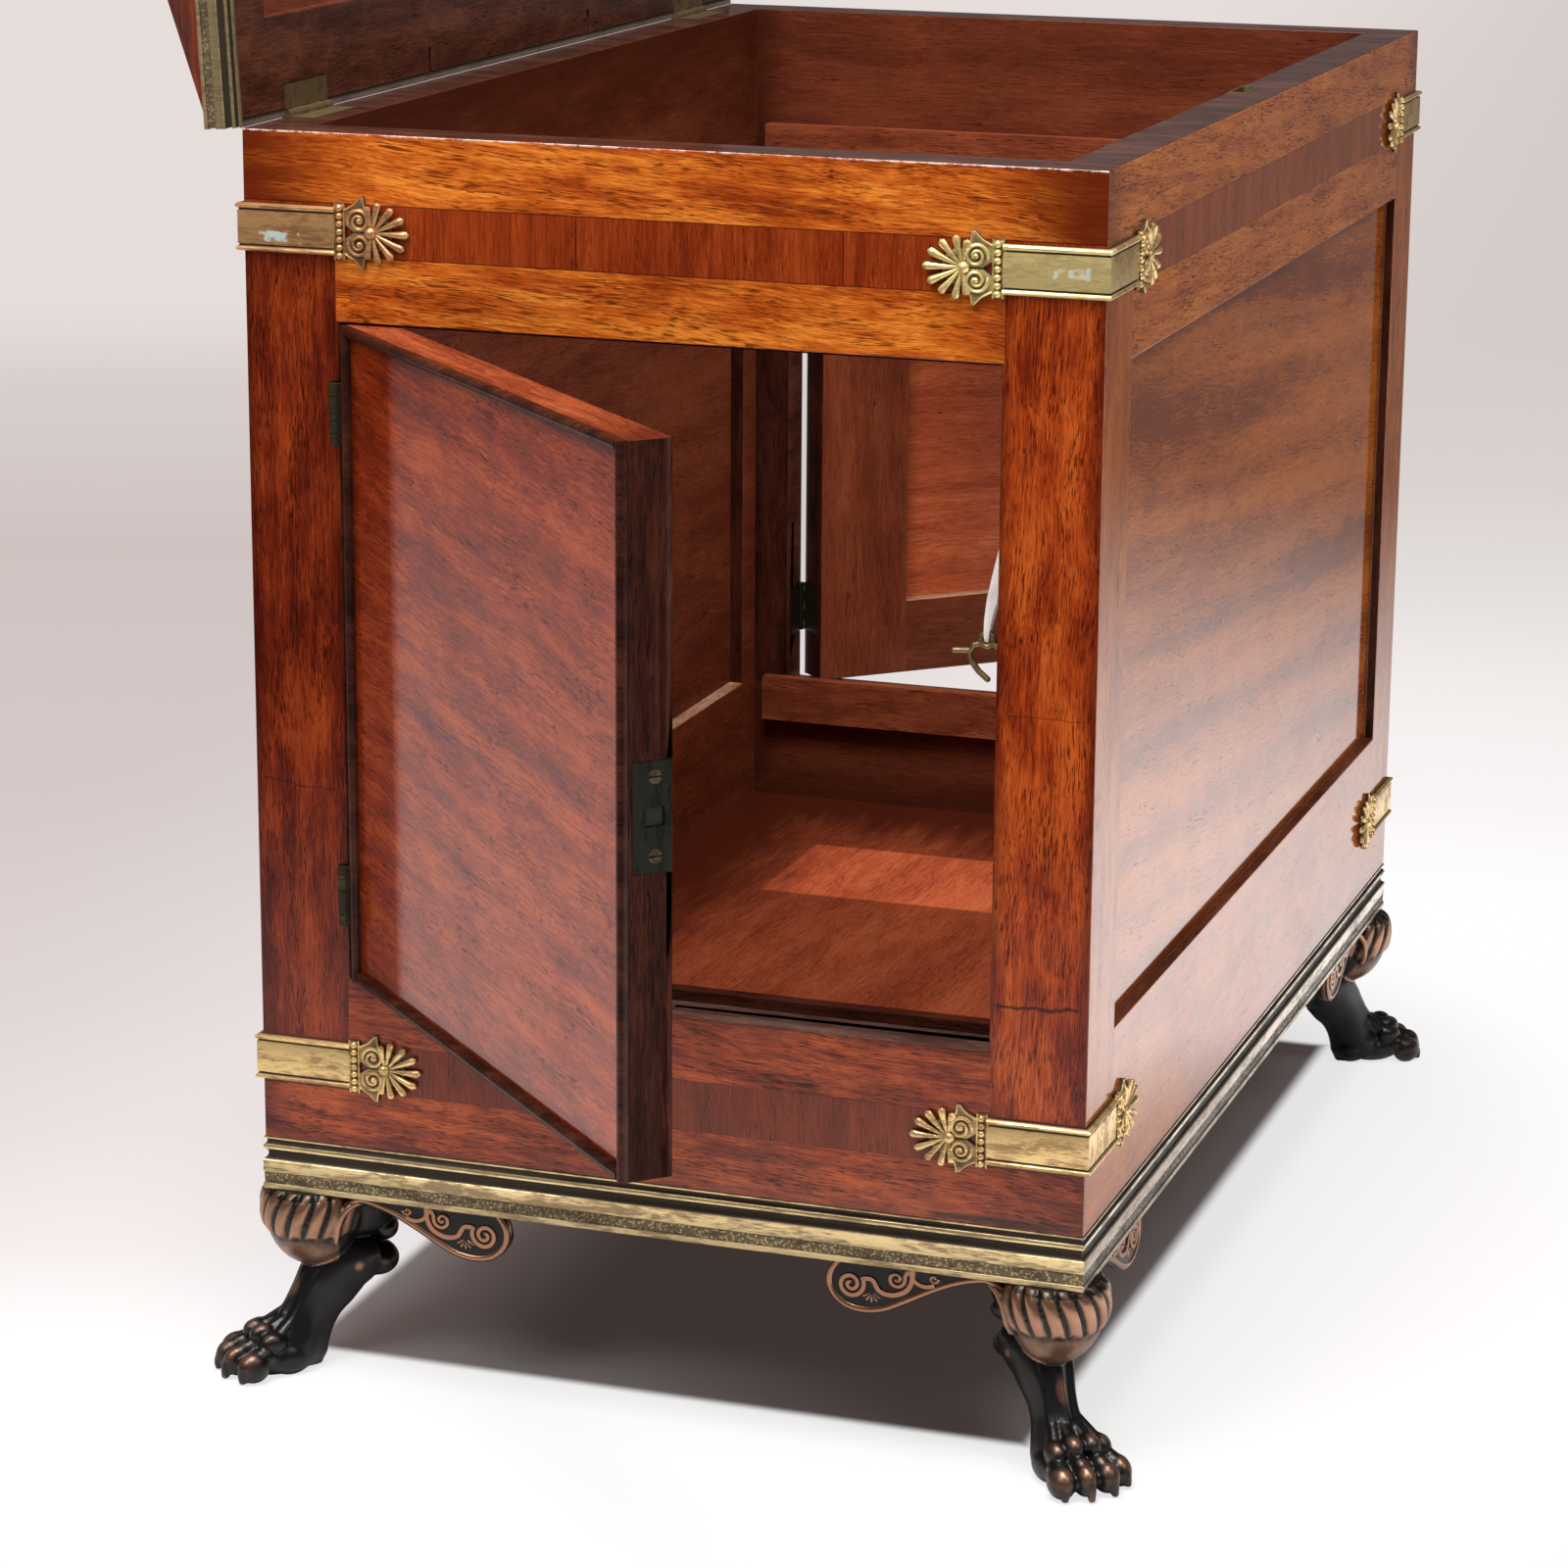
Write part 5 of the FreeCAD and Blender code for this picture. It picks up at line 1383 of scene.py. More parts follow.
# ---- brass mouldings ----
@dataclass
class Moulding:
    """A brass moulding mitred round the case or the lid, with a punched strip along it."""

    height: float
    level: float
    flip: bool = False
    notches: tuple[Span, ...] = ()
    notch_level: float = 511.6
    section: tuple[tuple[float, float, float], ...] = (
        (-3.0, 0.0, 0.2), (0.75, 0.0, 0.8), (1.0, 0.012, 0.62), (1.0, 0.10, 0.62),
        (0.7, 0.112, 0.4), (0.4, 0.115, -1.0), (0.5, 0.315, -1.0), (0.75, 0.325, 0.8),
        (0.98, 0.34, 1.0), (0.85, 0.43, 0.9), (0.9, 0.53, 0.95), (1.0, 0.556, 1.0),
        (0.7, 0.572, 0.5), (-0.5, 0.60, 0.1), (-1.15, 0.66, 0.05), (-1.0, 0.73, 0.1),
        (-0.2, 0.755, 0.3), (0.45, 0.772, 0.8), (0.8, 0.81, 1.0), (0.55, 0.85, 0.8),
        (-0.1, 0.865, 0.25), (-0.7, 0.90, 0.1), (-0.75, 0.96, 0.12), (0.5, 0.972, 0.7),
        (0.5, 1.0, 0.9), (-3.0, 1.0, 0.2),
    )

    def lengths(self) -> Form:
        """The section carried round the rectangle, each of its points one mitred ring."""
        form = Form()
        out, share, relief = np.array(self.section).T
        z = self.level + (1 - share if self.flip else share) * self.height
        corner = np.array([(0, 0), (WIDTH, 0), (WIDTH, DEPTH), (0, DEPTH)], float)
        away = np.array([(-1, -1), (1, -1), (1, 1), (-1, 1)], float)
        ring = corner[None] + out[:, None, None] * away[None]
        points = np.concatenate([ring, np.broadcast_to(z[:, None, None], (len(z), 4, 1))], -1)
        for k in range(4):
            pair = points[:, [k, (k + 1) % 4]]
            if k == 3 and self.notches:
                pair = self.notched(pair)
            form.grid(pair, closed_u=True, mark=k % 2, relief=np.broadcast_to(relief[:, None], pair.shape[:2]))
        return form

    def notched(self, pair: Array) -> Array:
        """The left length with room for the hinges: across one, the section is drawn up to the notch's level."""
        whole, cut = pair[:, 0], pair[:, 0].copy()
        low = cut[:, 2] < self.notch_level
        cut[low, 2] = self.notch_level
        cut[low, 0] = np.maximum.accumulate(cut[low, 0])
        stations = [whole]
        for near, far in self.notches:
            for y, section in ((far, whole), (far, cut), (near, cut), (near, whole)):
                stations.append(section * np.array([1.0, 0.0, 1.0]) + np.array([0.0, y, 0.0]))
        return np.stack([*stations, pair[:, 1]], 1)

    def build(self, name: str, body: Body, node: str, finishes: Sequence[Material], swing: Swing = CLOSED) -> None:
        """Makes the moulding.

        Args:
            name: the piece's name.
            body: the body it rides on.
            node: the CAD node that it stands for.
            finishes: that of the ends and that of the long sides.
            swing: the turn of its body.
        """
        form = self.lengths()
        make_piece(name, make_mesh(name, form, swing, sharp=28.0), body, Slot.BRASS, finishes, [node])


# ---- corner mounts ----
@dataclass
class CornerMount:
    """A brass band wrapped round a corner, each arm ending in a bead column, two volutes and an anthemion.

    One arm is drawn on a face: a outwards from the corner, b up from the band's middle line, c proud of the wood.
    """

    band_end: float = 46.0
    bead_at: float = 48.3
    bead_pitch: float = 3.6
    bead_radius: float = 1.7
    root: float = 64.2
    levels: tuple[float, float] = (463.5, 67.0)
    clubs: tuple[tuple[float, float], ...] = (
        (0.0, 18.3), (24.0, 17.3), (-24.0, 17.3), (48.5, 15.6), (-48.5, 15.6), (77.0, 14.4),
        (-77.0, 14.4), (101.0, 12.4), (-101.0, 12.4),
    )
    section: tuple[tuple[float, float, float], ...] = (
        (0.0, 0.0, 0.2), (11.0, 0.0, 0.2), (11.0, 1.3, 0.5), (10.8, 2.3, 0.9), (10.1, 3.0, 1.0),
        (9.3, 2.9, 1.0), (8.7, 2.3, 0.6), (8.4, 1.7, 0.1), (7.9, 1.6, 0.15), (7.6, 2.1, 0.8),
        (7.2, 2.2, 0.9), (0.0, 2.2, 0.9),
    )

    def band(self) -> Form:
        """The band: its section, mirrored below the middle, carried from the mitre a = -c to its end."""
        form = Form()
        half = np.array(self.section)
        lower = half[1:-1][::-1] * np.array([-1, 1, 1])
        ring = np.concatenate([half, lower])
        b, c, relief = ring.T
        start = np.stack([-c, b, c], -1)
        end = np.stack([np.full_like(b, self.band_end), b, c], -1)
        middle = end - np.array([1.6, 0, 0])
        rings = np.stack([start, middle, end])
        form.grid(rings, closed_v=True, relief=np.broadcast_to(relief, (3, len(relief))))
        cap = np.concatenate([end[None], np.broadcast_to(end.mean(0), (1, len(end), 3))])
        form.grid(cap, closed_v=True)
        return form

    def beads(self, form: Form) -> None:
        """Seven pearls between two thin upright fillets on a narrow plate."""
        self.slab(form, [(45.6, -13.0), (50.6, -13.0), (50.6, 13.0), (45.6, 13.0)], 1.4)
        for side in (45.9, 50.4):
            path = np.array([(side, -12.8, 1.5), (side, 0, 1.5), (side, 12.8, 1.5)])
            form.tube(swept(path, np.array([0.5, 0.5, 0.5]), 8, 1.0, (1, 0, 0)), relief=0.7)
        pearl = globe(9, 12)
        relief = 0.25 + 0.75 * (pearl[..., 2] + 1) / 2
        for k in range(7):
            middle = np.array([self.bead_at, (k - 3) * self.bead_pitch, 2.0])
            form.grid(self.bead_radius * pearl + middle, closed_v=True, relief=relief)

    def slab(self, form: Form, outline: Sequence[tuple[float, float]], height: float, crown: float = 0.5) -> None:
        """A thin plate with a rounded rim: its outline at the wood, then at its height less the crown, then drawn in.

        Args:
            form: where it is added.
            outline: its corners a, b on the face.
            height: how proud it stands.
            crown: the height of its rounding.
        """
        ring = np.array(outline, float)
        middle = ring.mean(0)
        inner = middle + (ring - middle) * 0.93
        core = middle + (ring - middle) * 0.55
        levels = [(ring, 0.0), (ring, height - crown), (inner, height), (core, height)]
        rings = np.stack([np.concatenate([r, np.full((len(r), 1), h)], 1) for r, h in levels])
        form.tube(rings, relief=np.broadcast_to(np.array([0.1, 0.2, 0.55, 0.4])[:, None], rings.shape[:2]))

    def club(self, form: Form, degrees: float, length: float) -> None:
        """A petal: a round bar from the root, its radius swelling to the tip and closing there in a half circle.

        Args:
            form: where it is added.
            degrees: its angle off the arm's axis.
            length: from the root to the tip.
        """
        t = np.linspace(0, 1, 15)
        far = length * t
        radius = (0.62 + 1.55 * t**1.5) * np.sqrt(np.clip(1 - np.clip((t - 0.84) / 0.16, 0, 1) ** 2, 0.002, 1))
        lift = 1.15 + 1.1 * np.sin(np.pi * np.clip(t, 0, 1) * 0.75)
        angle = math.radians(degrees)
        path = np.stack([self.root + far * math.cos(angle), far * math.sin(angle), lift], -1)
        side = swept(path, radius, 10, 0.85, (0, 0, 1))
        relief = np.clip(0.35 + 0.65 * (side[..., 2] - 1.2) / 2.2, 0, 1)
        form.tube(side, relief=relief)

    def volutes(self, form: Form) -> None:
        """Two volutes: coils of one and three quarter turns that thin to a round eye, with a horn above each."""
        for sign in (1, -1):
            t = np.linspace(0, 1, 44)
            angle = math.radians(200) - t * 2 * np.pi * 1.75
            r = 4.6 * (1 - t) ** 0.9 + 0.9
            path = np.stack([58.0 + r * np.cos(angle), sign * (5.3 + r * np.sin(angle)), 1.9 + 0.9 * t], -1)
            radius = (0.95 - 0.35 * t) * np.sqrt(np.clip(np.minimum(t, 1 - t) / 0.03, 0.02, 1))
            form.tube(swept(path, radius, 8), relief=0.85)
            form.tube(globe(5, 12, math.pi / 2) * (1.3, 1.3, 1.0) + (58.0, sign * 5.3, 2.4), relief=1.0)
            horn = [(50.6, 3.0), (50.6, 10.5), (53.2, 11.6), (55.6, 13.2), (58.6, 16.2), (60.0, 16.4), (60.2, 13.5)]
            horn += [(60.6, 11.0), (62.6, 8.6), (63.8, 5.0), (63.6, 1.5), (60.0, 0.0), (55.0, 0.0)]
            self.slab(form, [(a, sign * b) for a, b in horn], 1.7, 0.4)
            for points, first, last in (
                ([(50.8, 10.0, 1.7), (53.4, 11.3, 1.8), (55.9, 12.9, 1.9), (58.9, 16.0, 1.7)], 0.55, 0.3),
                ([(59.9, 16.2, 1.7), (60.2, 13.2, 1.9), (61.2, 10.6, 2.0), (63.0, 8.3, 1.8)], 0.3, 0.55),
            ):
                rim = smooth_line(points, 5) * np.array([1, sign, 1])
                form.tube(swept(rim, np.linspace(first, last, len(rim)), 8), relief=0.9)

    def anthemion(self, form: Form) -> None:
        """Nine clubs on a low plate behind, with a heart-shaped boss at their root."""
        polar = np.radians(np.linspace(-112, 112, 29))
        reach = 8.3 + 1.5 * np.cos(polar)
        outline = [(self.root + r * math.cos(t), r * math.sin(t)) for r, t in zip(reach, polar)]
        self.slab(form, [*outline, (58.0, 2.0), (58.0, -2.0)], 0.8, 0.3)
        for degrees, length in self.clubs:
            self.club(form, degrees, length)
        turn = round_angles(16)
        boss = globe(9, 16)
        boss[..., 0] *= 1 + 0.18 * np.cos(turn) * np.abs(np.sin(turn))
        form.grid(boss * (2.7, 2.7, 2.3) + (63.4, 0.0, 1.9), closed_v=True, relief=0.9)

    def arm(self) -> Form:
        """One arm of the mount."""
        form = self.band()
        self.beads(form)
        self.volutes(form)
        self.anthemion(form)
        return form

    def build(self, finish: Material) -> None:
        """Makes the four upper and the four lower mounts."""
        arm = self.arm()
        for level, name in zip(self.levels, ("upper", "lower")):
            form = Form()
            for (x0, dx), (y0, dy) in product(ENDS_X, ENDS_Y):
                form.join(arm, [0, 2, 1], (dx, -dy, 1.0), (x0, y0, level))
                form.join(arm, [2, 0, 1], (-dx, dy, 1.0), (x0, y0, level))
            mesh = make_mesh(f"{name}_mounts", form, sharp=42.0)
            make_piece(f"{name}_mounts", mesh, Body.CASE, Slot.BRASS, [finish], [f"{name}_corner_mounts"])


# ---- feet ----
@dataclass(frozen=True)
class Toe:
    """One toe: knuckle and pad middles, pad radii and the tip of its claw, in the foot's s, t, z."""

    knuckle: Point
    pad: Point
    claw: Point
    wide: float = 6.0


@dataclass
class PawFoot:
    """A lion's paw under a gadrooned cup, cast in one; s runs outwards along the corner's diagonal, t across it."""

    cup_at: float = -23.5
    ribs: int = 17
    voxel: float = 0.8
    profile: tuple[tuple[float, float], ...] = (
        (20.5, 0.0), (22.8, -2.5), (24.3, -6.5), (24.8, -12.0), (24.2, -17.0), (22.8, -21.5),
        (21.0, -25.5), (18.8, -30.0), (15.5, -34.5), (11.0, -38.3), (5.5, -41.0), (0.5, -42.0),
    )
    hip: tuple[Point, ...] = (
        (-41.5, 27.0, -4.0), (-37.0, 27.0, -4.4), (-32.5, 26.4, -6.4), (-29.0, 25.6, -10.5),
        (-27.2, 25.0, -15.5), (-26.6, 23.8, -21.0), (-27.0, 21.0, -26.0),
    )
    toes: tuple[Toe, ...] = (
        Toe((3.0, -13.5, -75.0), (14.5, -16.8, -84.5), (20.5, -18.0, -91.6), 6.3),
        Toe((5.5, -6.2, -72.2), (18.0, -6.8, -83.5), (25.6, -6.8, -91.6), 5.4),
        Toe((5.5, 2.6, -72.6), (17.5, 4.8, -84.0), (24.4, 6.2, -91.6), 6.2),
        Toe((1.5, 10.5, -75.5), (11.5, 14.6, -85.0), (18.2, 16.4, -91.0), 6.0),
    )

    def cup(self, form: Form) -> None:
        """The cup: a turned bowl, out of whose upper part slanting bars with rounded lower ends swell."""
        r, z = smooth_line(self.profile, 8).T
        turn = round_angles(360)
        slant = turn[None] + 0.0135 * (z[:, None] + 12) + 0.00022 * (z[:, None] + 12) ** 2
        across = np.abs(((slant * self.ribs / (2 * np.pi)) % 1.0) - 0.5) * 2
        bar = np.clip(1 - (across / 0.86) ** 2.6, 0, 1) ** 0.5
        low = np.clip((z[:, None] + 22.8 - 2.2 * (bar - 1)) / 2.0, 0, 1)
        radius = r[:, None] - 1.3 * np.clip((z[:, None] + 25.0) / 3.0, 0, 1) + 2.5 * bar * np.sqrt(low)
        level = np.broadcast_to(z[:, None], radius.shape)
        form.tube(np.stack([self.cup_at + radius * np.cos(turn), radius * np.sin(turn), level], -1))

    def leg(self, form: Form) -> None:
        """The lower leg: ellipses square to its line from the hock to the sole, ridged in front by three tendons."""
        stations = [
            (-53.0, -38.5, 11.0, 14.5), (-46.0, -40.5, 14.5, 15.3), (-37.5, -44.0, 16.5, 15.0),
            (-30.0, -52.0, 15.4, 13.4), (-24.0, -59.5, 13.6, 11.3), (-19.5, -66.5, 13.2, 11.0),
            (-15.5, -73.5, 14.0, 12.3), (-12.0, -81.0, 15.0, 14.0), (-10.0, -88.0, 14.0, 13.5),
        ]
        line = smooth_line(stations, 7)
        way = np.gradient(line[:, :2], axis=0)
        way /= np.linalg.norm(way, axis=1, keepdims=True)
        square = np.stack([-way[:, 1], way[:, 0]], -1)
        turn = round_angles(80)
        bend = np.minimum(turn, 2 * np.pi - turn)
        swells = ((1.5, 0.75, 0.24), (0.9, 0.0, 0.2), (-1.1, 0.36, 0.16), (1.6, math.pi, 0.5), (-1.2, 2.2, 0.4))
        ridge = sum(gain * np.exp(-(((bend - middle) / wide) ** 2)) for gain, middle, wide in swells)
        push = ridge[None] * np.clip((-line[:, 1, None] - 42) / 12, 0, 1)
        deep = (line[:, 2, None] + push) * np.cos(turn)
        wide = (line[:, 3, None] + 0.6 * push) * np.sin(turn)
        drift = np.interp(-line[:, 1], (45, 60, 75, 92), (0.0, -1.8, -3.0, -3.0))
        out, level = (line[:, k, None] + deep * square[:, k : k + 1] for k in (0, 1))
        form.tube(np.stack([out, drift[:, None] + wide, level], -1))

    def ball(self, form: Form, middle: Point, radii: Point) -> None:
        """An ellipsoid: the middle plus each radius times the unit sphere."""
        form.grid(np.array(middle) + globe(15, 24) * np.array(radii), closed_v=True)

    def paw(self, form: Form) -> None:
        """The paw: its pad, heel and inner toe, and four toes of knuckle, pad, tendon and blunt claw."""
        for middle, radii in (
            ((-1.0, -2.5, -84.5), (19.0, 15.5, 9.5)),
            ((-17.0, -2.0, -84.0), (11.5, 11.5, 9.0)),
            ((-6.0, -12.5, -84.5), (11.0, 6.0, 8.0)),
            ((-46.0, 0.0, -13.5), (20.5, 19.0, 17.5)),
            ((-55.5, 0.0, -43.8), (11.2, 13.5, 8.8)),
            ((-58.0, 0.0, -26.5), (8.0, 14.5, 8.0)),
        ):
            self.ball(form, middle, radii)
        for toe in self.toes:
            k, p, c = (np.array(v) for v in (toe.knuckle, toe.pad, toe.claw))
            self.ball(form, tuple(k), (7.2, 5.0, 5.4))
            self.ball(form, tuple(p), (8.4, toe.wide, 7.6))
            self.ball(form, tuple(p * 0.55 + k * 0.45 + (0, 0, -0.6)), (7.5, 4.8, 5.2))
            start = np.array([-11.5, -2.0 + 0.5 * (k[1] + 2.0), -62.0])
            tendon = smooth_line([start, start * 0.5 + k * 0.5 + (0.5, 0, 0.6), k + (0.5, 0, 1.4)], 6)
            form.tube(swept(tendon - (0, 0, 2.4), np.linspace(2.6, 4.2, len(tendon)), 12, 1.0, (0, 1, 0)))
            claw = smooth_line([p + (4.5, 0, 0.5), p * 0.35 + c * 0.65 + (2.0, 0, 2.4), c + (0, 0, 0.3)], 5)
            form.tube(swept(claw, np.linspace(3.6, 1.9, len(claw)), 12, 0.8, (0, 1, 0)))

    def ridges(self, form: Form) -> None:
        """The bracket's border carried on over the hip and down the cup's side, on both sides."""
        for sign in (1.0, -1.0):
            line = smooth_line(self.hip, 7) * (1.0, sign, 1.0)
            form.tube(swept(line, np.linspace(2.0, 1.5, len(line)), 12, 1.0, (0, 1, 0)))

    def skin(self) -> bpy.types.Mesh:
        """The foot as one skin: its forms joined by a voxel remesh, then eased."""
        form = Form()
        self.cup(form)
        self.leg(form)
        self.paw(form)
        self.ridges(form)
        mesh = bpy.data.meshes.new("paw_forms")
        mesh.from_pydata((np.concatenate(form.points) * MM).tolist(), [], form.faces)
        tidy_mesh(mesh, True)
        scratch = placed("paw_forms", mesh)
        remesh = scratch.modifiers.new("skin", "REMESH")
        remesh.mode, remesh.voxel_size = "VOXEL", self.voxel * MM
        ease = scratch.modifiers.new("ease", "SMOOTH")
        ease.factor, ease.iterations = 0.5, 4
        bpy.context.view_layer.update()
        skin = bpy.data.meshes.new_from_object(scratch.evaluated_get(bpy.context.evaluated_depsgraph_get()))
        bpy.data.objects.remove(scratch)
        return skin

    def proud(self, points: Array, normals: Array, edges: Array) -> Array:
        """How far each point stands out of its eased surroundings, along its normal.

        Args:
            points: the skin's points.
            normals: their normals.
            edges: pairs of points that are joined.

        Returns:
            Millimetres, one for each point.
        """
        count = np.bincount(edges.ravel(), minlength=len(points))[:, None]

        def mean(values: Array) -> Array:
            """The mean over each point's neighbours."""
            near, far = edges.T
            columns = values.T
            total = [np.bincount(near, c[far], len(points)) + np.bincount(far, c[near], len(points)) for c in columns]
            return np.stack(total, 1) / np.maximum(count, 1)

        wide = points
        for _ in range(24):
            wide = mean(wide)
        out = ((points - wide) * normals).sum(1)[:, None]
        for _ in range(2):
            out = mean(out)
        return out[:, 0]

    def relief(self, points: Array, proud: Array) -> Array:
        """Where the patina is rubbed through: proud ribs and toes, the cup's belly, the shin, the hock's knobs.

        Args:
            points: the skin's points, s, t and z.
            proud: how far each stands out.

        Returns:
            The relief, 0 to 1.
        """
        s, t, z = points.T
        reach = np.hypot(s - self.cup_at, t)
        outline = np.array(self.profile)[::-1]
        skin = np.interp(z, outline[:, 1], outline[:, 0]) + 3.2
        cup = (reach > 7) & (z > -42.5) & (s > self.cup_at - 13 + 0.35 * np.abs(t)) & (reach < skin)
        belly = np.clip((-z - 27) / 6, 0, 1)
        value = np.where(cup, 0.46 + 0.75 * proud * (1 - belly) + 0.26 * belly, 0.10 + 0.30 * np.clip(proud, -1, 1))
        value = np.where(cup & (z > -3.0), value - 0.5, value)
        for middle, size, gain in (
            ((-14.0, -2.0, -54.0), (5.0, 4.0, 7.0), 0.62),
            ((-41.0, 13.0, -42.0), (2.6, 9.0, 2.4), 0.7),
            ((-54.0, 10.0, -41.5), (2.6, 9.0, 2.2), 0.45),
        ):
            across = np.abs(t) if middle[1] > 5 else t
            away = sum(((v - m) / r) ** 2 for v, m, r in zip((s, across, z), middle, size))
            value = value + gain * np.exp(-away)
        for toe in self.toes:
            for middle, size, gain in ((toe.knuckle, 4.5, 0.20), (toe.pad, 6.5, 0.27)):
                lift = np.array(middle) + (2.5, 0.0, 5.0)
                away = ((points - lift) ** 2).sum(1) / size**2
                value = value + gain * np.exp(-away) * np.clip(0.6 + proud * 0.8, 0, 1.4)
        ridge = (np.abs(t) > 21.5) & (s < -24.0) & (z > -27.5)
        return np.clip(np.where(ridge, 0.55 + 0.5 * proud, value), 0, 1)

    def build(self, finish: Material) -> None:
        """Makes the four feet from one skin, turned or mirrored to each corner."""
        skin = self.skin()
        points = read(skin.vertices, "co") / MM
        proud = self.proud(points, read(skin.vertices, "normal"), read(skin.edges, "vertices", 2, int))
        relief = self.relief(points, proud)
        points[:, 2] = np.clip(points[:, 2], -FOOT, -0.05)
        faces = [list(face.vertices) for face in skin.polygons]
        rows, columns = zip(("front", "back"), ENDS_Y), zip(("left", "right"), ENDS_X)
        for (end, (y, dy)), (side, (x, dx)) in product(rows, columns):
            out, across = (np.array([-dx, way]) / math.sqrt(2) for way in (-dy, dy))
            plan = np.array([x, y]) + points[:, :1] * out + points[:, 1:2] * across
            form = Form()
            form.add(np.concatenate([plan, points[:, 2:]], 1), np.zeros((0, 4), int), 0, relief)
            form.faces, form.marks = faces, [0] * len(faces)
            mesh = make_mesh(f"paw_{end}_{side}", form, sharp=80.0)
            make_piece(mesh.name, mesh, Body.CASE, Slot.PAW, [finish], [f"paw_foot_{end}_{side}"])


# ---- scroll brackets ----
@dataclass
class ScrollBracket:
    """A flat scroll bracket beside a foot: dark field, copper border and three volutes on stems."""

    face: float = 4.0
    back: float = 10.0
    edge: tuple[tuple[float, float], ...] = (
        (45.5, -4.5), (51.5, -4.6), (62.5, -7.8), (74.5, -13.5), (85.5, -19.5), (95.5, -24.3),
        (105.5, -26.0), (114.5, -24.4), (121.0, -19.5), (124.0, -13.0), (123.0, -6.0),
        (119.5, -0.6),
    )

    def plate(self, form: Form) -> None:
        """The field: between the lower edge and the level top, drawn in from the border, and its two faces."""
        line = smooth_line(self.edge, 6)
        n = len(line)
        t = np.linspace(0, 1, n)
        top = np.stack([self.edge[0][0] + t * (self.edge[-1][0] - self.edge[0][0]), np.full(n, -0.3)], -1)
        s = np.linspace(0, 1, 5)[None, :, None]
        sheet = top[:, None] * (1 - s) + line[:, None] * s
        front = np.concatenate([sheet[..., :1], np.full(sheet.shape[:2] + (1,), self.face + 0.9), sheet[..., 1:]], -1)
        rear = front.copy()
        rear[..., 1] = self.back
        ring = np.concatenate([front, rear[:, ::-1]], 1)
        form.tube(ring, relief=0.1)

    def bar(
        self, form: Form, points: Sequence[tuple[float, float]], radius: Array | float, per_span: int = 6,
        relief: float = 1.0
    ) -> None:
        """A half-sunk bar along a curve in the field.

        Args:
            form: where it is added.
            points: the curve's points, along the face and up.
            radius: one, or one for each point of the curve.
            per_span: how many points smooth each span, or 0.
            relief: how rubbed it is.
        """
        line = smooth_line(points, per_span) if per_span else np.asarray(points, float)
        path = np.stack([line[:, 0], np.full(len(line), self.face + 0.9), line[:, 1]], -1)
        rings = swept(path, np.broadcast_to(radius, (len(path),)), 8, 0.9, (0, 1, 0))
        rings[..., 1] = np.maximum(rings[..., 1], self.face)
        form.tube(rings, relief=relief)

    def volute(
        self, middle: tuple[float, float], radius: float, turns: float, start: float,
        stem: Sequence[tuple[float, float]]
    ) -> Array:
        """A spiral from its eye outwards, its radius growing evenly with the turn, that runs on into its stem.

        Args:
            middle: its eye.
            radius: the last turn's.
            turns: how many.
            start: the angle in degrees where the stem leaves it.
            stem: points that the stem goes through.

        Returns:
            The line's points.
        """
        t = np.linspace(0.12, 1, int(28 * turns))
        angle = math.radians(start) + 2 * np.pi * turns * (1 - t)
        coil = np.stack([middle[0] + radius * t * np.cos(angle), middle[1] + radius * t * np.sin(angle)], -1)
        if not len(stem):
            return coil
        run = smooth_line([tuple(coil[-1]), *stem], 7)[1:]
        return np.concatenate([coil, run])

    def drawing(self) -> Form:
        """The whole bracket, along the front of the case from the front left corner."""
        form = Form()
        self.plate(form)
        rim = smooth_line([(40.0, -8.0), *self.edge], 6)
        inner = np.gradient(rim, axis=0)
        inner /= np.linalg.norm(inner, axis=1, keepdims=True)
        rim = rim + np.stack([-inner[:, 1], inner[:, 0]], -1) * 1.75
        path = np.stack([rim[:, 0], np.full(len(rim), self.face + 3.0), rim[:, 1]], -1)
        rings = swept(path, np.full(len(path), 2.0), 10, 1.5, (0, 1, 0))
        rings[..., 1] = np.clip(rings[..., 1], self.face, self.back)
        rings[..., 2] = np.minimum(rings[..., 2], -0.1)
        form.tube(rings, relief=1.0)
        first = self.volute(
            (111.5, -12.0), 6.6, 2.1, 150.0,
            [(101.0, -9.0), (97.5, -14.0), (91.5, -15.2), (85.0, -12.6), (82.0, -7.5), (81.6, -2.0)],
        )
        second = self.volute((89.5, -7.0), 4.4, 1.7, 160.0, [(83.5, -3.0), (80.0, -7.5), (75.5, -9.0), (71.0, -8.0)])
        third = self.volute((71.5, -4.6), 2.3, 1.3, 180.0, [])
        for line, radius in ((first, 1.6), (second, 1.35), (third, 1.0)):
            self.bar(form, line, np.linspace(radius * 0.7, radius, len(line)), 0)
        for degrees in (-150, -120, -90, -60, -30):
            a = math.radians(degrees)
            ends = [(101.5 + u * math.cos(a), -15.2 + v * math.sin(a)) for u, v in ((1.2, 1.2), (5.2, 5.0))]
            self.bar(form, ends, np.array([0.25, 0.55, 0.75, 0.3]), 3, 0.9)
        return form

    def build(self, finish: Material) -> None:
        """Makes the eight brackets: along each face, at each corner."""
        one, form = self.drawing(), Form()
        for (x0, dx), (y0, dy), axes in product(ENDS_X, ENDS_Y, ([0, 1, 2], [1, 0, 2])):
            form.join(one, axes, (dx, dy, 1.0), (x0, y0, 0.0))
        make_piece(
            "scrolls", make_mesh("scrolls", form, sharp=50.0), Body.CASE, Slot.SCROLL, [finish], ["scroll_brackets"],
        )


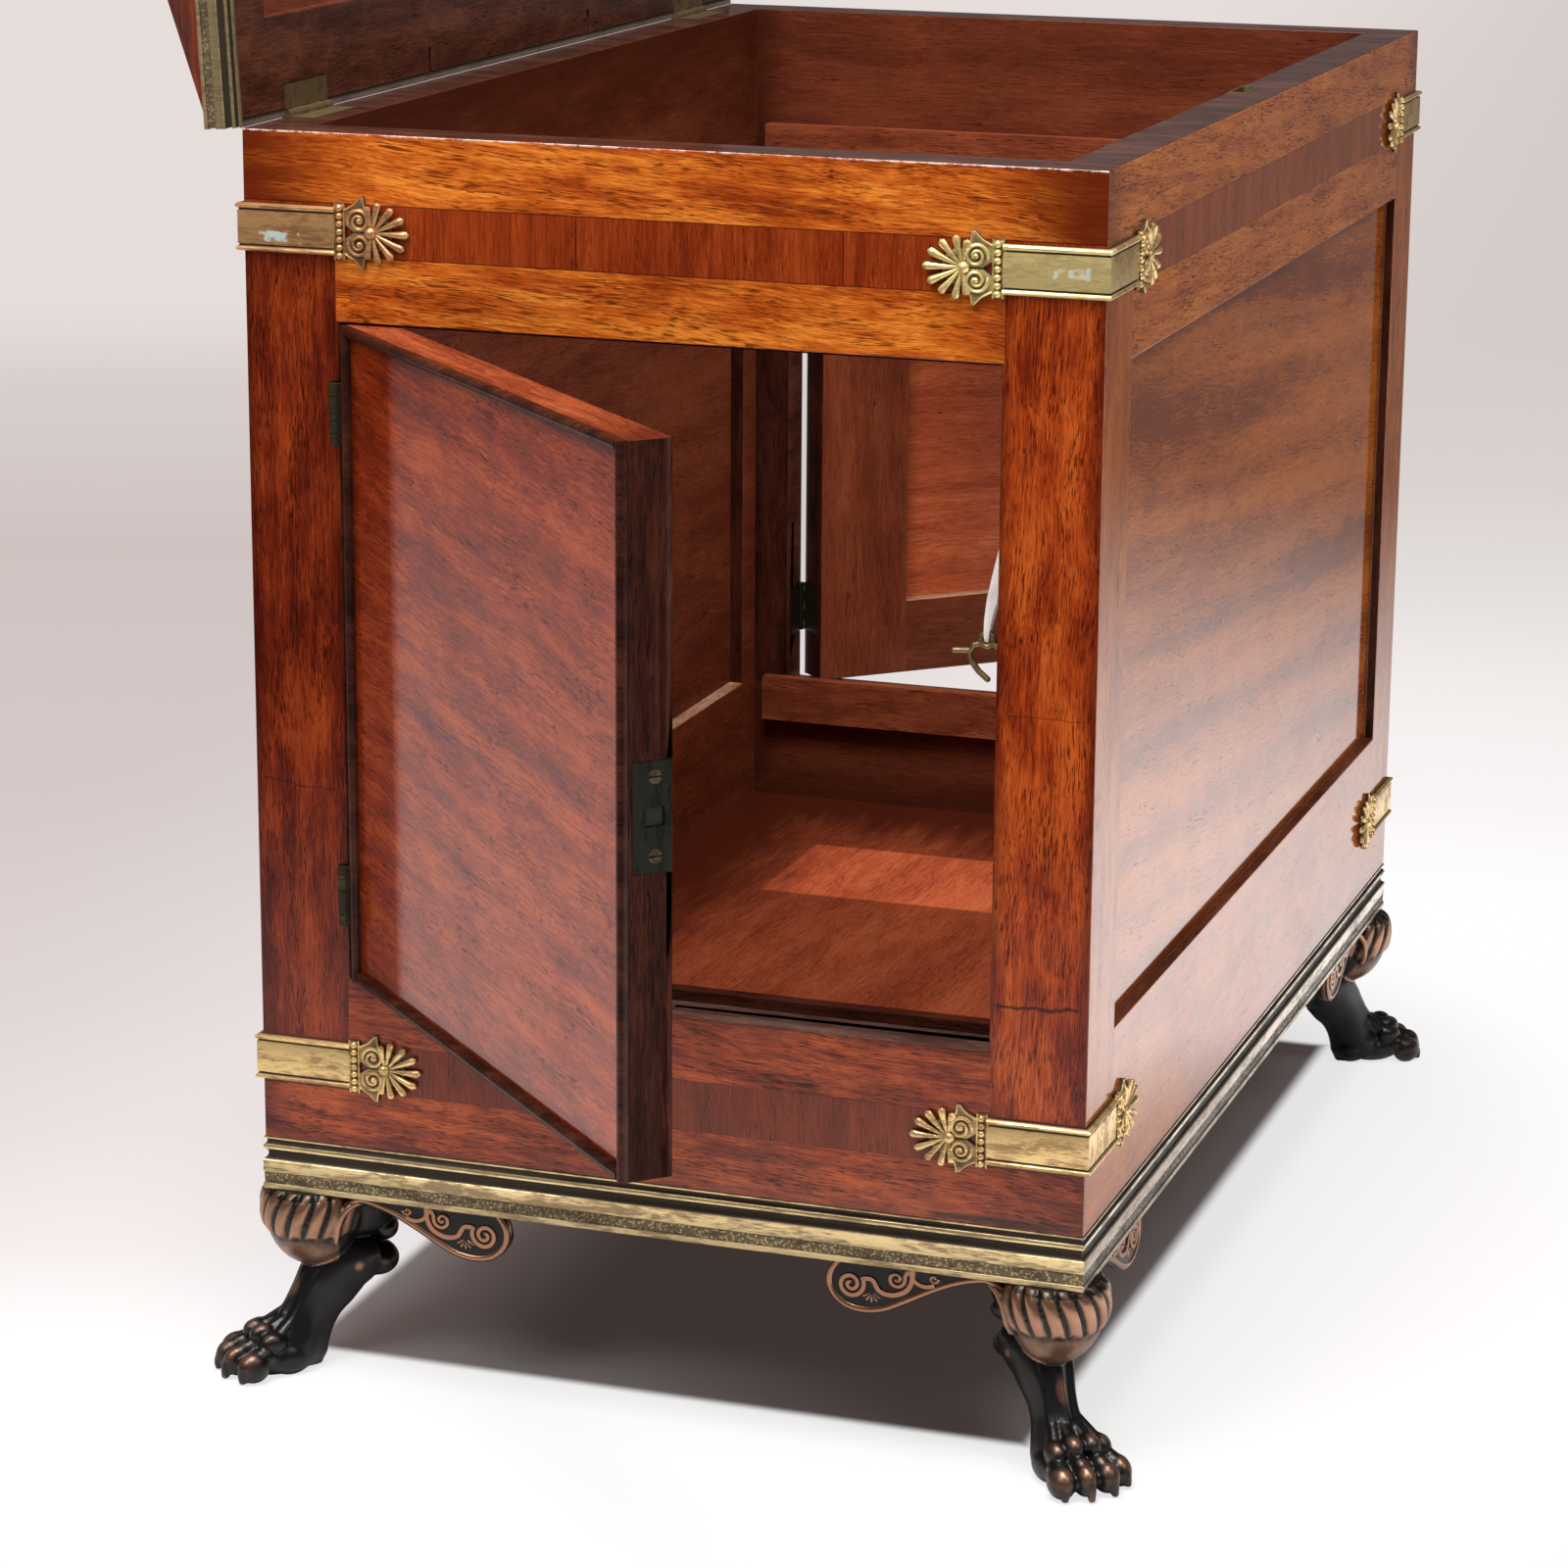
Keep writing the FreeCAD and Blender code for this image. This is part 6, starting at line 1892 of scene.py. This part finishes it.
# ---- the key's ribbon ----
@dataclass
class KeyRibbon:
    """A flat white ribbon from the tack down through the key's eye and back up to the tack."""

    width: float = 5.0
    thickness: float = 0.5
    route: tuple[Point, ...] = (
        (363.5, 26.4, 389.0), (363.3, 26.4, 376.0), (360.6, 26.3, 358.0), (355.9, 26.4, 338.0),
        (351.2, 26.4, 318.0), (348.0, 26.5, 302.0), (347.4, 26.7, 295.5), (347.3, 27.2, 291.6),
        (347.3, 29.9, 291.6), (347.4, 30.4, 295.5), (348.0, 30.6, 302.0), (351.6, 30.8, 318.0),
        (356.5, 30.8, 338.0), (361.0, 30.8, 358.0), (363.3, 30.8, 376.0), (363.5, 30.8, 389.0),
    )

    def line(self) -> Array:
        """The route's NURBS spline as points, in row metres."""
        curve = bpy.data.curves.new("ribbon_line", "CURVE")
        curve.dimensions = "3D"
        curve.resolution_u = 8
        spline = curve.splines.new("NURBS")
        spline.points.add(len(self.route) - 1)
        points = np.concatenate([to_row(np.array(self.route)), np.ones((len(self.route), 1))], 1)
        spline.points.foreach_set("co", points.ravel())
        spline.order_u = 3
        spline.use_endpoint_u = True
        holder = bpy.data.objects.new("ribbon_line", curve)
        line = read(bpy.data.meshes.new_from_object(holder).vertices, "co")
        bpy.data.objects.remove(holder)
        return line

    def build(self, finish: Material, key: bpy.types.Object) -> None:
        """Makes the ribbon: a flat section carried along the line, pinched where it passes the eye.

        Args:
            finish: its weave.
            key: the piece that hangs on it; not used.
        """
        line = self.line()
        tangent = np.gradient(line, axis=0)
        tangent /= np.linalg.norm(tangent, axis=1, keepdims=True)
        side = np.cross(tangent, (0.0, 1.0, 0.0))
        side[:, 1] = 0
        weak = np.linalg.norm(side, axis=1) < 0.3
        side[weak] = (1.0, 0.0, 0.0)
        side *= np.sign(side[:, :1] + 1e-9)
        side /= np.linalg.norm(side, axis=1, keepdims=True)
        lift = np.cross(tangent, side)
        low = to_row(np.array([[0.0, 0.0, 292.0]]))[0, 2]
        near = np.clip((line[:, 2] - low) / 0.020, 0, 1)
        half = (0.95 + (self.width / 2 - 0.95) * near**0.8) * MM
        thick = self.thickness / 2 * MM
        corners = ((-1, -0.5), (-0.9, -1), (0.9, -1), (1, -0.5), (1, 0.5), (0.9, 1), (-0.9, 1), (-1, 0.5))
        rings = np.stack([line + (a * half)[:, None] * side + b * thick * lift for a, b in corners], 1)
        form = Form()
        form.tube(rings / MM - CASE_ORIGIN)
        mesh = make_mesh("key_ribbon_band", form, sharp=60.0)
        piece = make_piece("key_ribbon_band", mesh, Body.CASE, Slot.RIBBON, [finish], ["key_ribbon"])


# ---- what stays as it was made in the solid ----
def dress(nodes: Iterable[str], finish: Material) -> None:
    """Gives carried-over solids their finish."""
    for node in nodes:
        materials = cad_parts[node].data.materials
        materials.clear()
        materials.append(finish)


def dress_solids(metals: dict[str, Material]) -> None:
    """The finishes of the solids whose shape is right as it is: veneers made here, and metals by name."""
    # Painted light and shade on the boards: a painted pool of light, and painted shade along the back and left walls.
    boards = Veneer(
        "floor_boards", BOARDS, Grain.ALONG, 0.0, 32.0, (220.0, 60.0), 0.05, gloss=0.5, polish=0.2,
        edges=((45, -120, -999), (560, 612, 999)), edge_reach=80.0, edge_depth=0.92, mottle=0.25,
        patch=((97.0, 436.0, 0.0), (345.0, 538.0, 60.0), 2.25),
    )
    for nodes, veneer in (
        (
            ("front_door_beads", "back_door_beads"),
            Veneer("bead_wood", DEEP, Grain.ACROSS, 0.0, 31.0, (80.0, 9.0), 0.3, gloss=0.5, polish=0.2),
        ),
        (("bottom_board",), boards),
        (("base_frame",), Veneer("base_wood", DEEP, Grain.ALONG, 0.0, 33.0, gloss=0.1, polish=0.4)),
        (("back_stop_battens",), Veneer("batten_wood", CASE_INSIDE, Grain.ACROSS, 0.0, 34.0, gloss=0.4, polish=0.2)),
        (("front_stop_battens",), Veneer("sill_batten", DEEP, Grain.ACROSS, 0.0, 35.0, polish=0.13)),
    ):
        dress(nodes, veneer.build())
    for name, nodes in (
        ("dark_hinge_brass", ("door_hinges_case_side", "door_hinge_pins", "front_door_hinges", "back_door_hinges")),
        ("dull_brass", ("lid_hinges_case_side", "lid_hinge_pins", "lid_hinges_lid_side", "lid_lock", "lid_lock_bolt")),
        ("dull_brass", ("lid_staple", "key", "key_tack")),
        ("lock_brass", ("front_door_lock", "back_door_lock", "strike_plates")),
        ("black_iron", ("front_door_bolt", "back_door_bolt")),
        ("dulled_steel", ("front_door_lock_screws", "back_door_lock_screws", "foot_screws")),
    ):
        dress(nodes, metals[name])


# ---- studio ----
@dataclass
class Studio:
    """Camera, floor, soft lights and the surrounding room."""

    eye: Point = (704.53, -2221.01, 848.10)
    azimuth: float = 18.8598
    elevation: float = 14.8845
    roll: float = 0.4106
    lens: float = 105.36

    def camera(self) -> None:
        """The camera: its back vector from azimuth and elevation, then rolled about it."""
        a, e, r = (math.radians(v) for v in (self.azimuth, self.elevation, self.roll))
        back = np.array([math.sin(a) * math.cos(e), -math.cos(a) * math.cos(e), math.sin(e)])
        right = np.array([math.cos(a), math.sin(a), 0.0])
        up = np.cross(back, right)
        right, up = math.cos(r) * right + math.sin(r) * up, math.cos(r) * up - math.sin(r) * right
        data = bpy.data.cameras.new("camera")
        data.lens, data.sensor_width = self.lens, 36.0
        data.clip_start, data.clip_end = 0.05, 60.0
        camera = placed("camera", data)
        turn = Matrix(np.stack([right, up, back], 1).tolist()).to_4x4()
        camera.matrix_world = Matrix.Translation(Vector(self.eye) * MM) @ turn
        bpy.context.scene.camera = camera

    def floor(self) -> None:
        """The pale floor.

        Other rays meet it matt. The camera sees it mostly as a glow of its own tone, a painted falloff of light that
        greys further off, with a painted shadow under the case; near the object a quarter of it is matt and takes the
        real shadow. Mirror rays meet it matt close by and, further off, a glow that paints the reflections on the case.
        """
        form = Form()
        u = np.linspace(-9000, 9000, 19)
        x, y = np.meshgrid(u, u, indexing="ij")
        form.grid(np.stack([x + WIDTH / 2, y + DEPTH / 2, np.full_like(x, -FOOT)], -1))
        mesh = make_mesh("floor", form, recalculate=False)
        ground = placed("floor", mesh)
        g = Graph("pale_floor")
        x, y, z = g.axes(g.place())
        path = g.node("ShaderNodeLightPath")
        seen, mirrored = Value(g, path.outputs["Is Camera Ray"]), Value(g, path.outputs["Is Glossy Ray"])
        # The camera's tone of the floor is a painted falloff of light: white close to the case, greying further off,
        # with a painted soft shadow off to the left.
        depth = (y * 0.92 - x * 0.38).between(-100.0, 3400.0)
        left = g.ramp(
            depth,
            [
                (0.003, (1.0, 0.99, 0.99)), (0.016, (0.88, 0.80, 0.80)),
                (0.045, (0.785, 0.715, 0.695)), (0.10, (0.73, 0.65, 0.64)),
                (0.26, (0.665, 0.59, 0.575)), (0.62, (0.625, 0.548, 0.533)),
                (0.92, (0.69, 0.625, 0.606)), (1.0, (0.79, 0.725, 0.705)),
            ],
        )
        right = g.ramp(
            y.between(600.0, 3600.0),
            [
                (0.05, (1.0, 1.0, 1.0)), (0.115, (0.965, 0.92, 0.92)),
                (0.235, (0.91, 0.855, 0.855)), (0.415, (0.785, 0.75, 0.73)),
                (0.65, (0.71, 0.65, 0.625)), (1.0, (0.66, 0.60, 0.58)),
            ],
        )
        tone = g.mix((x + y * 0.12).between(-500.0, 500.0), left, right)
        # Mirror rays further off meet a glow seen only in reflections, bright beside the case and behind it on the
        # right and dim ahead: it paints the reflections on the case.
        right_side = x.between(250.0, 650.0)
        ahead = y.between(-1300.0, -100.0)
        beside = (1 - right_side) * x.between(-3600.0, 300.0) * 0.92
        behind = right_side * (y.between(2500.0, 600.0) * 1.8 + 0.10)
        room = g.lit((1.0, 0.965, 0.96), ahead * (beside + behind) + 0.045)
        # Painted shadow: under the case the camera sees a dark tone, lighter towards the left edge, over the quarter of
        # lit floor below.
        under = g.inside((x, y, z), (3.0, 30.0, -999.0), (374.0, 670.0, 999.0)).between(-4.0, 6.0)
        dark = g.lit((1.0, 0.76, 0.70), x.between(120.0, 0.0) * 0.10 + x.between(330.0, 375.0) * 0.02 + 0.052)
        far = g.mix(mirrored, g.mix(under, tone, dark), room)
        glow = g.node("ShaderNodeEmission", inputs={"Color": far, "Strength": 1.0})
        matt = g.node("ShaderNodeBsdfDiffuse", inputs={"Color": (0.86, 0.84, 0.835)})
        near = (x - 203.0) * (x - 203.0) * 2.2 + (y - 250.0) * (y - 250.0)
        reach = (near.between(230000.0, 480000.0) * 0.26 + 0.74) * seen + near.between(200000.0, 420000.0) * mirrored
        lit = g.node("ShaderNodeMixShader", inputs={0: reach})
        g.tree.links.new(matt.outputs[0], lit.inputs[1])
        g.tree.links.new(glow.outputs[0], lit.inputs[2])
        g.node("ShaderNodeOutputMaterial", inputs={"Surface": lit.outputs[0]})
        mesh.materials.append(g.material)

    def lamp(
        self, name: str, place: Point, aim: Point, size: float, watts: float, colour: Colour = (1.0, 0.97, 0.95)
    ) -> None:
        """A square soft lamp, turned to its aim.

        Args:
            name: the lamp's name.
            place: where it stands, in metres.
            aim: where it shines.
            size: its side, in metres.
            watts: its power.
            colour: its light.
        """
        data = bpy.data.lights.new(name, "AREA")
        data.shape, data.size, data.energy, data.color = "SQUARE", size, watts, colour
        lamp = placed(name, data)
        way = Vector(aim) - Vector(place)
        lamp.matrix_world = Matrix.Translation(place) @ way.to_track_quat("-Z", "Y").to_matrix().to_4x4()

    def room(self) -> None:
        """The light that comes from all round, weaker than the lamps."""
        world = bpy.data.worlds.new("room")
        bpy.context.scene.world = world
        world.use_nodes = True
        world.node_tree.nodes["Background"].inputs["Color"].default_value = (1.0, 0.985, 0.975, 1.0)
        world.node_tree.nodes["Background"].inputs["Strength"].default_value = 0.12

    def build(self) -> None:
        """Sets up the studio."""
        bpy.context.scene.view_settings.view_transform = "Standard"
        self.camera()
        self.floor()
        self.lamp("overhead", (0.05, -0.72, 2.5), (0.0, 0.0, 0.2), 1.1, 76.0)
        self.lamp("front", (-0.9, -2.2, 2.6), (0.0, 0.0, 0.4), 1.2, 44.0)
        self.lamp("side", (2.0, -1.0, 2.7), (0.2, 0.0, 0.3), 1.2, 20.0)
        self.room()


def main() -> None:
    """Builds the studio and every piece of the object."""
    Studio().build()
    metals = brass_finishes()
    dress_solids(metals)
    KeyRibbon().build(metals["white_satin"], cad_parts["key"])
    Carcass().build()
    Door("front", FRONT_AJAR).build()
    Door("back", BACK_AJAR).build()
    Lid().build()
    # The long sides take the copy whose paler colour is a painted reflection.
    pair = [metals["moulding_brass"], metals["moulding_brass_painted_sheen"]]
    Moulding(26.0, 0.0).build("base_moulding_brass", Body.CASE, "base_moulding", pair)
    Moulding(
        18.0, 508.8, flip=True, notches=((564.6, 612.4), (47.6, 95.4)),
    ).build("lid_moulding_brass", Body.LID, "lid_moulding", pair, RAISED)
    CornerMount().build(metals["gilt_brass"])
    PawFoot().build(metals["copper_bronze"])
    ScrollBracket().build(metals["scroll_bronze"])


if __name__ == "__main__":
    main()
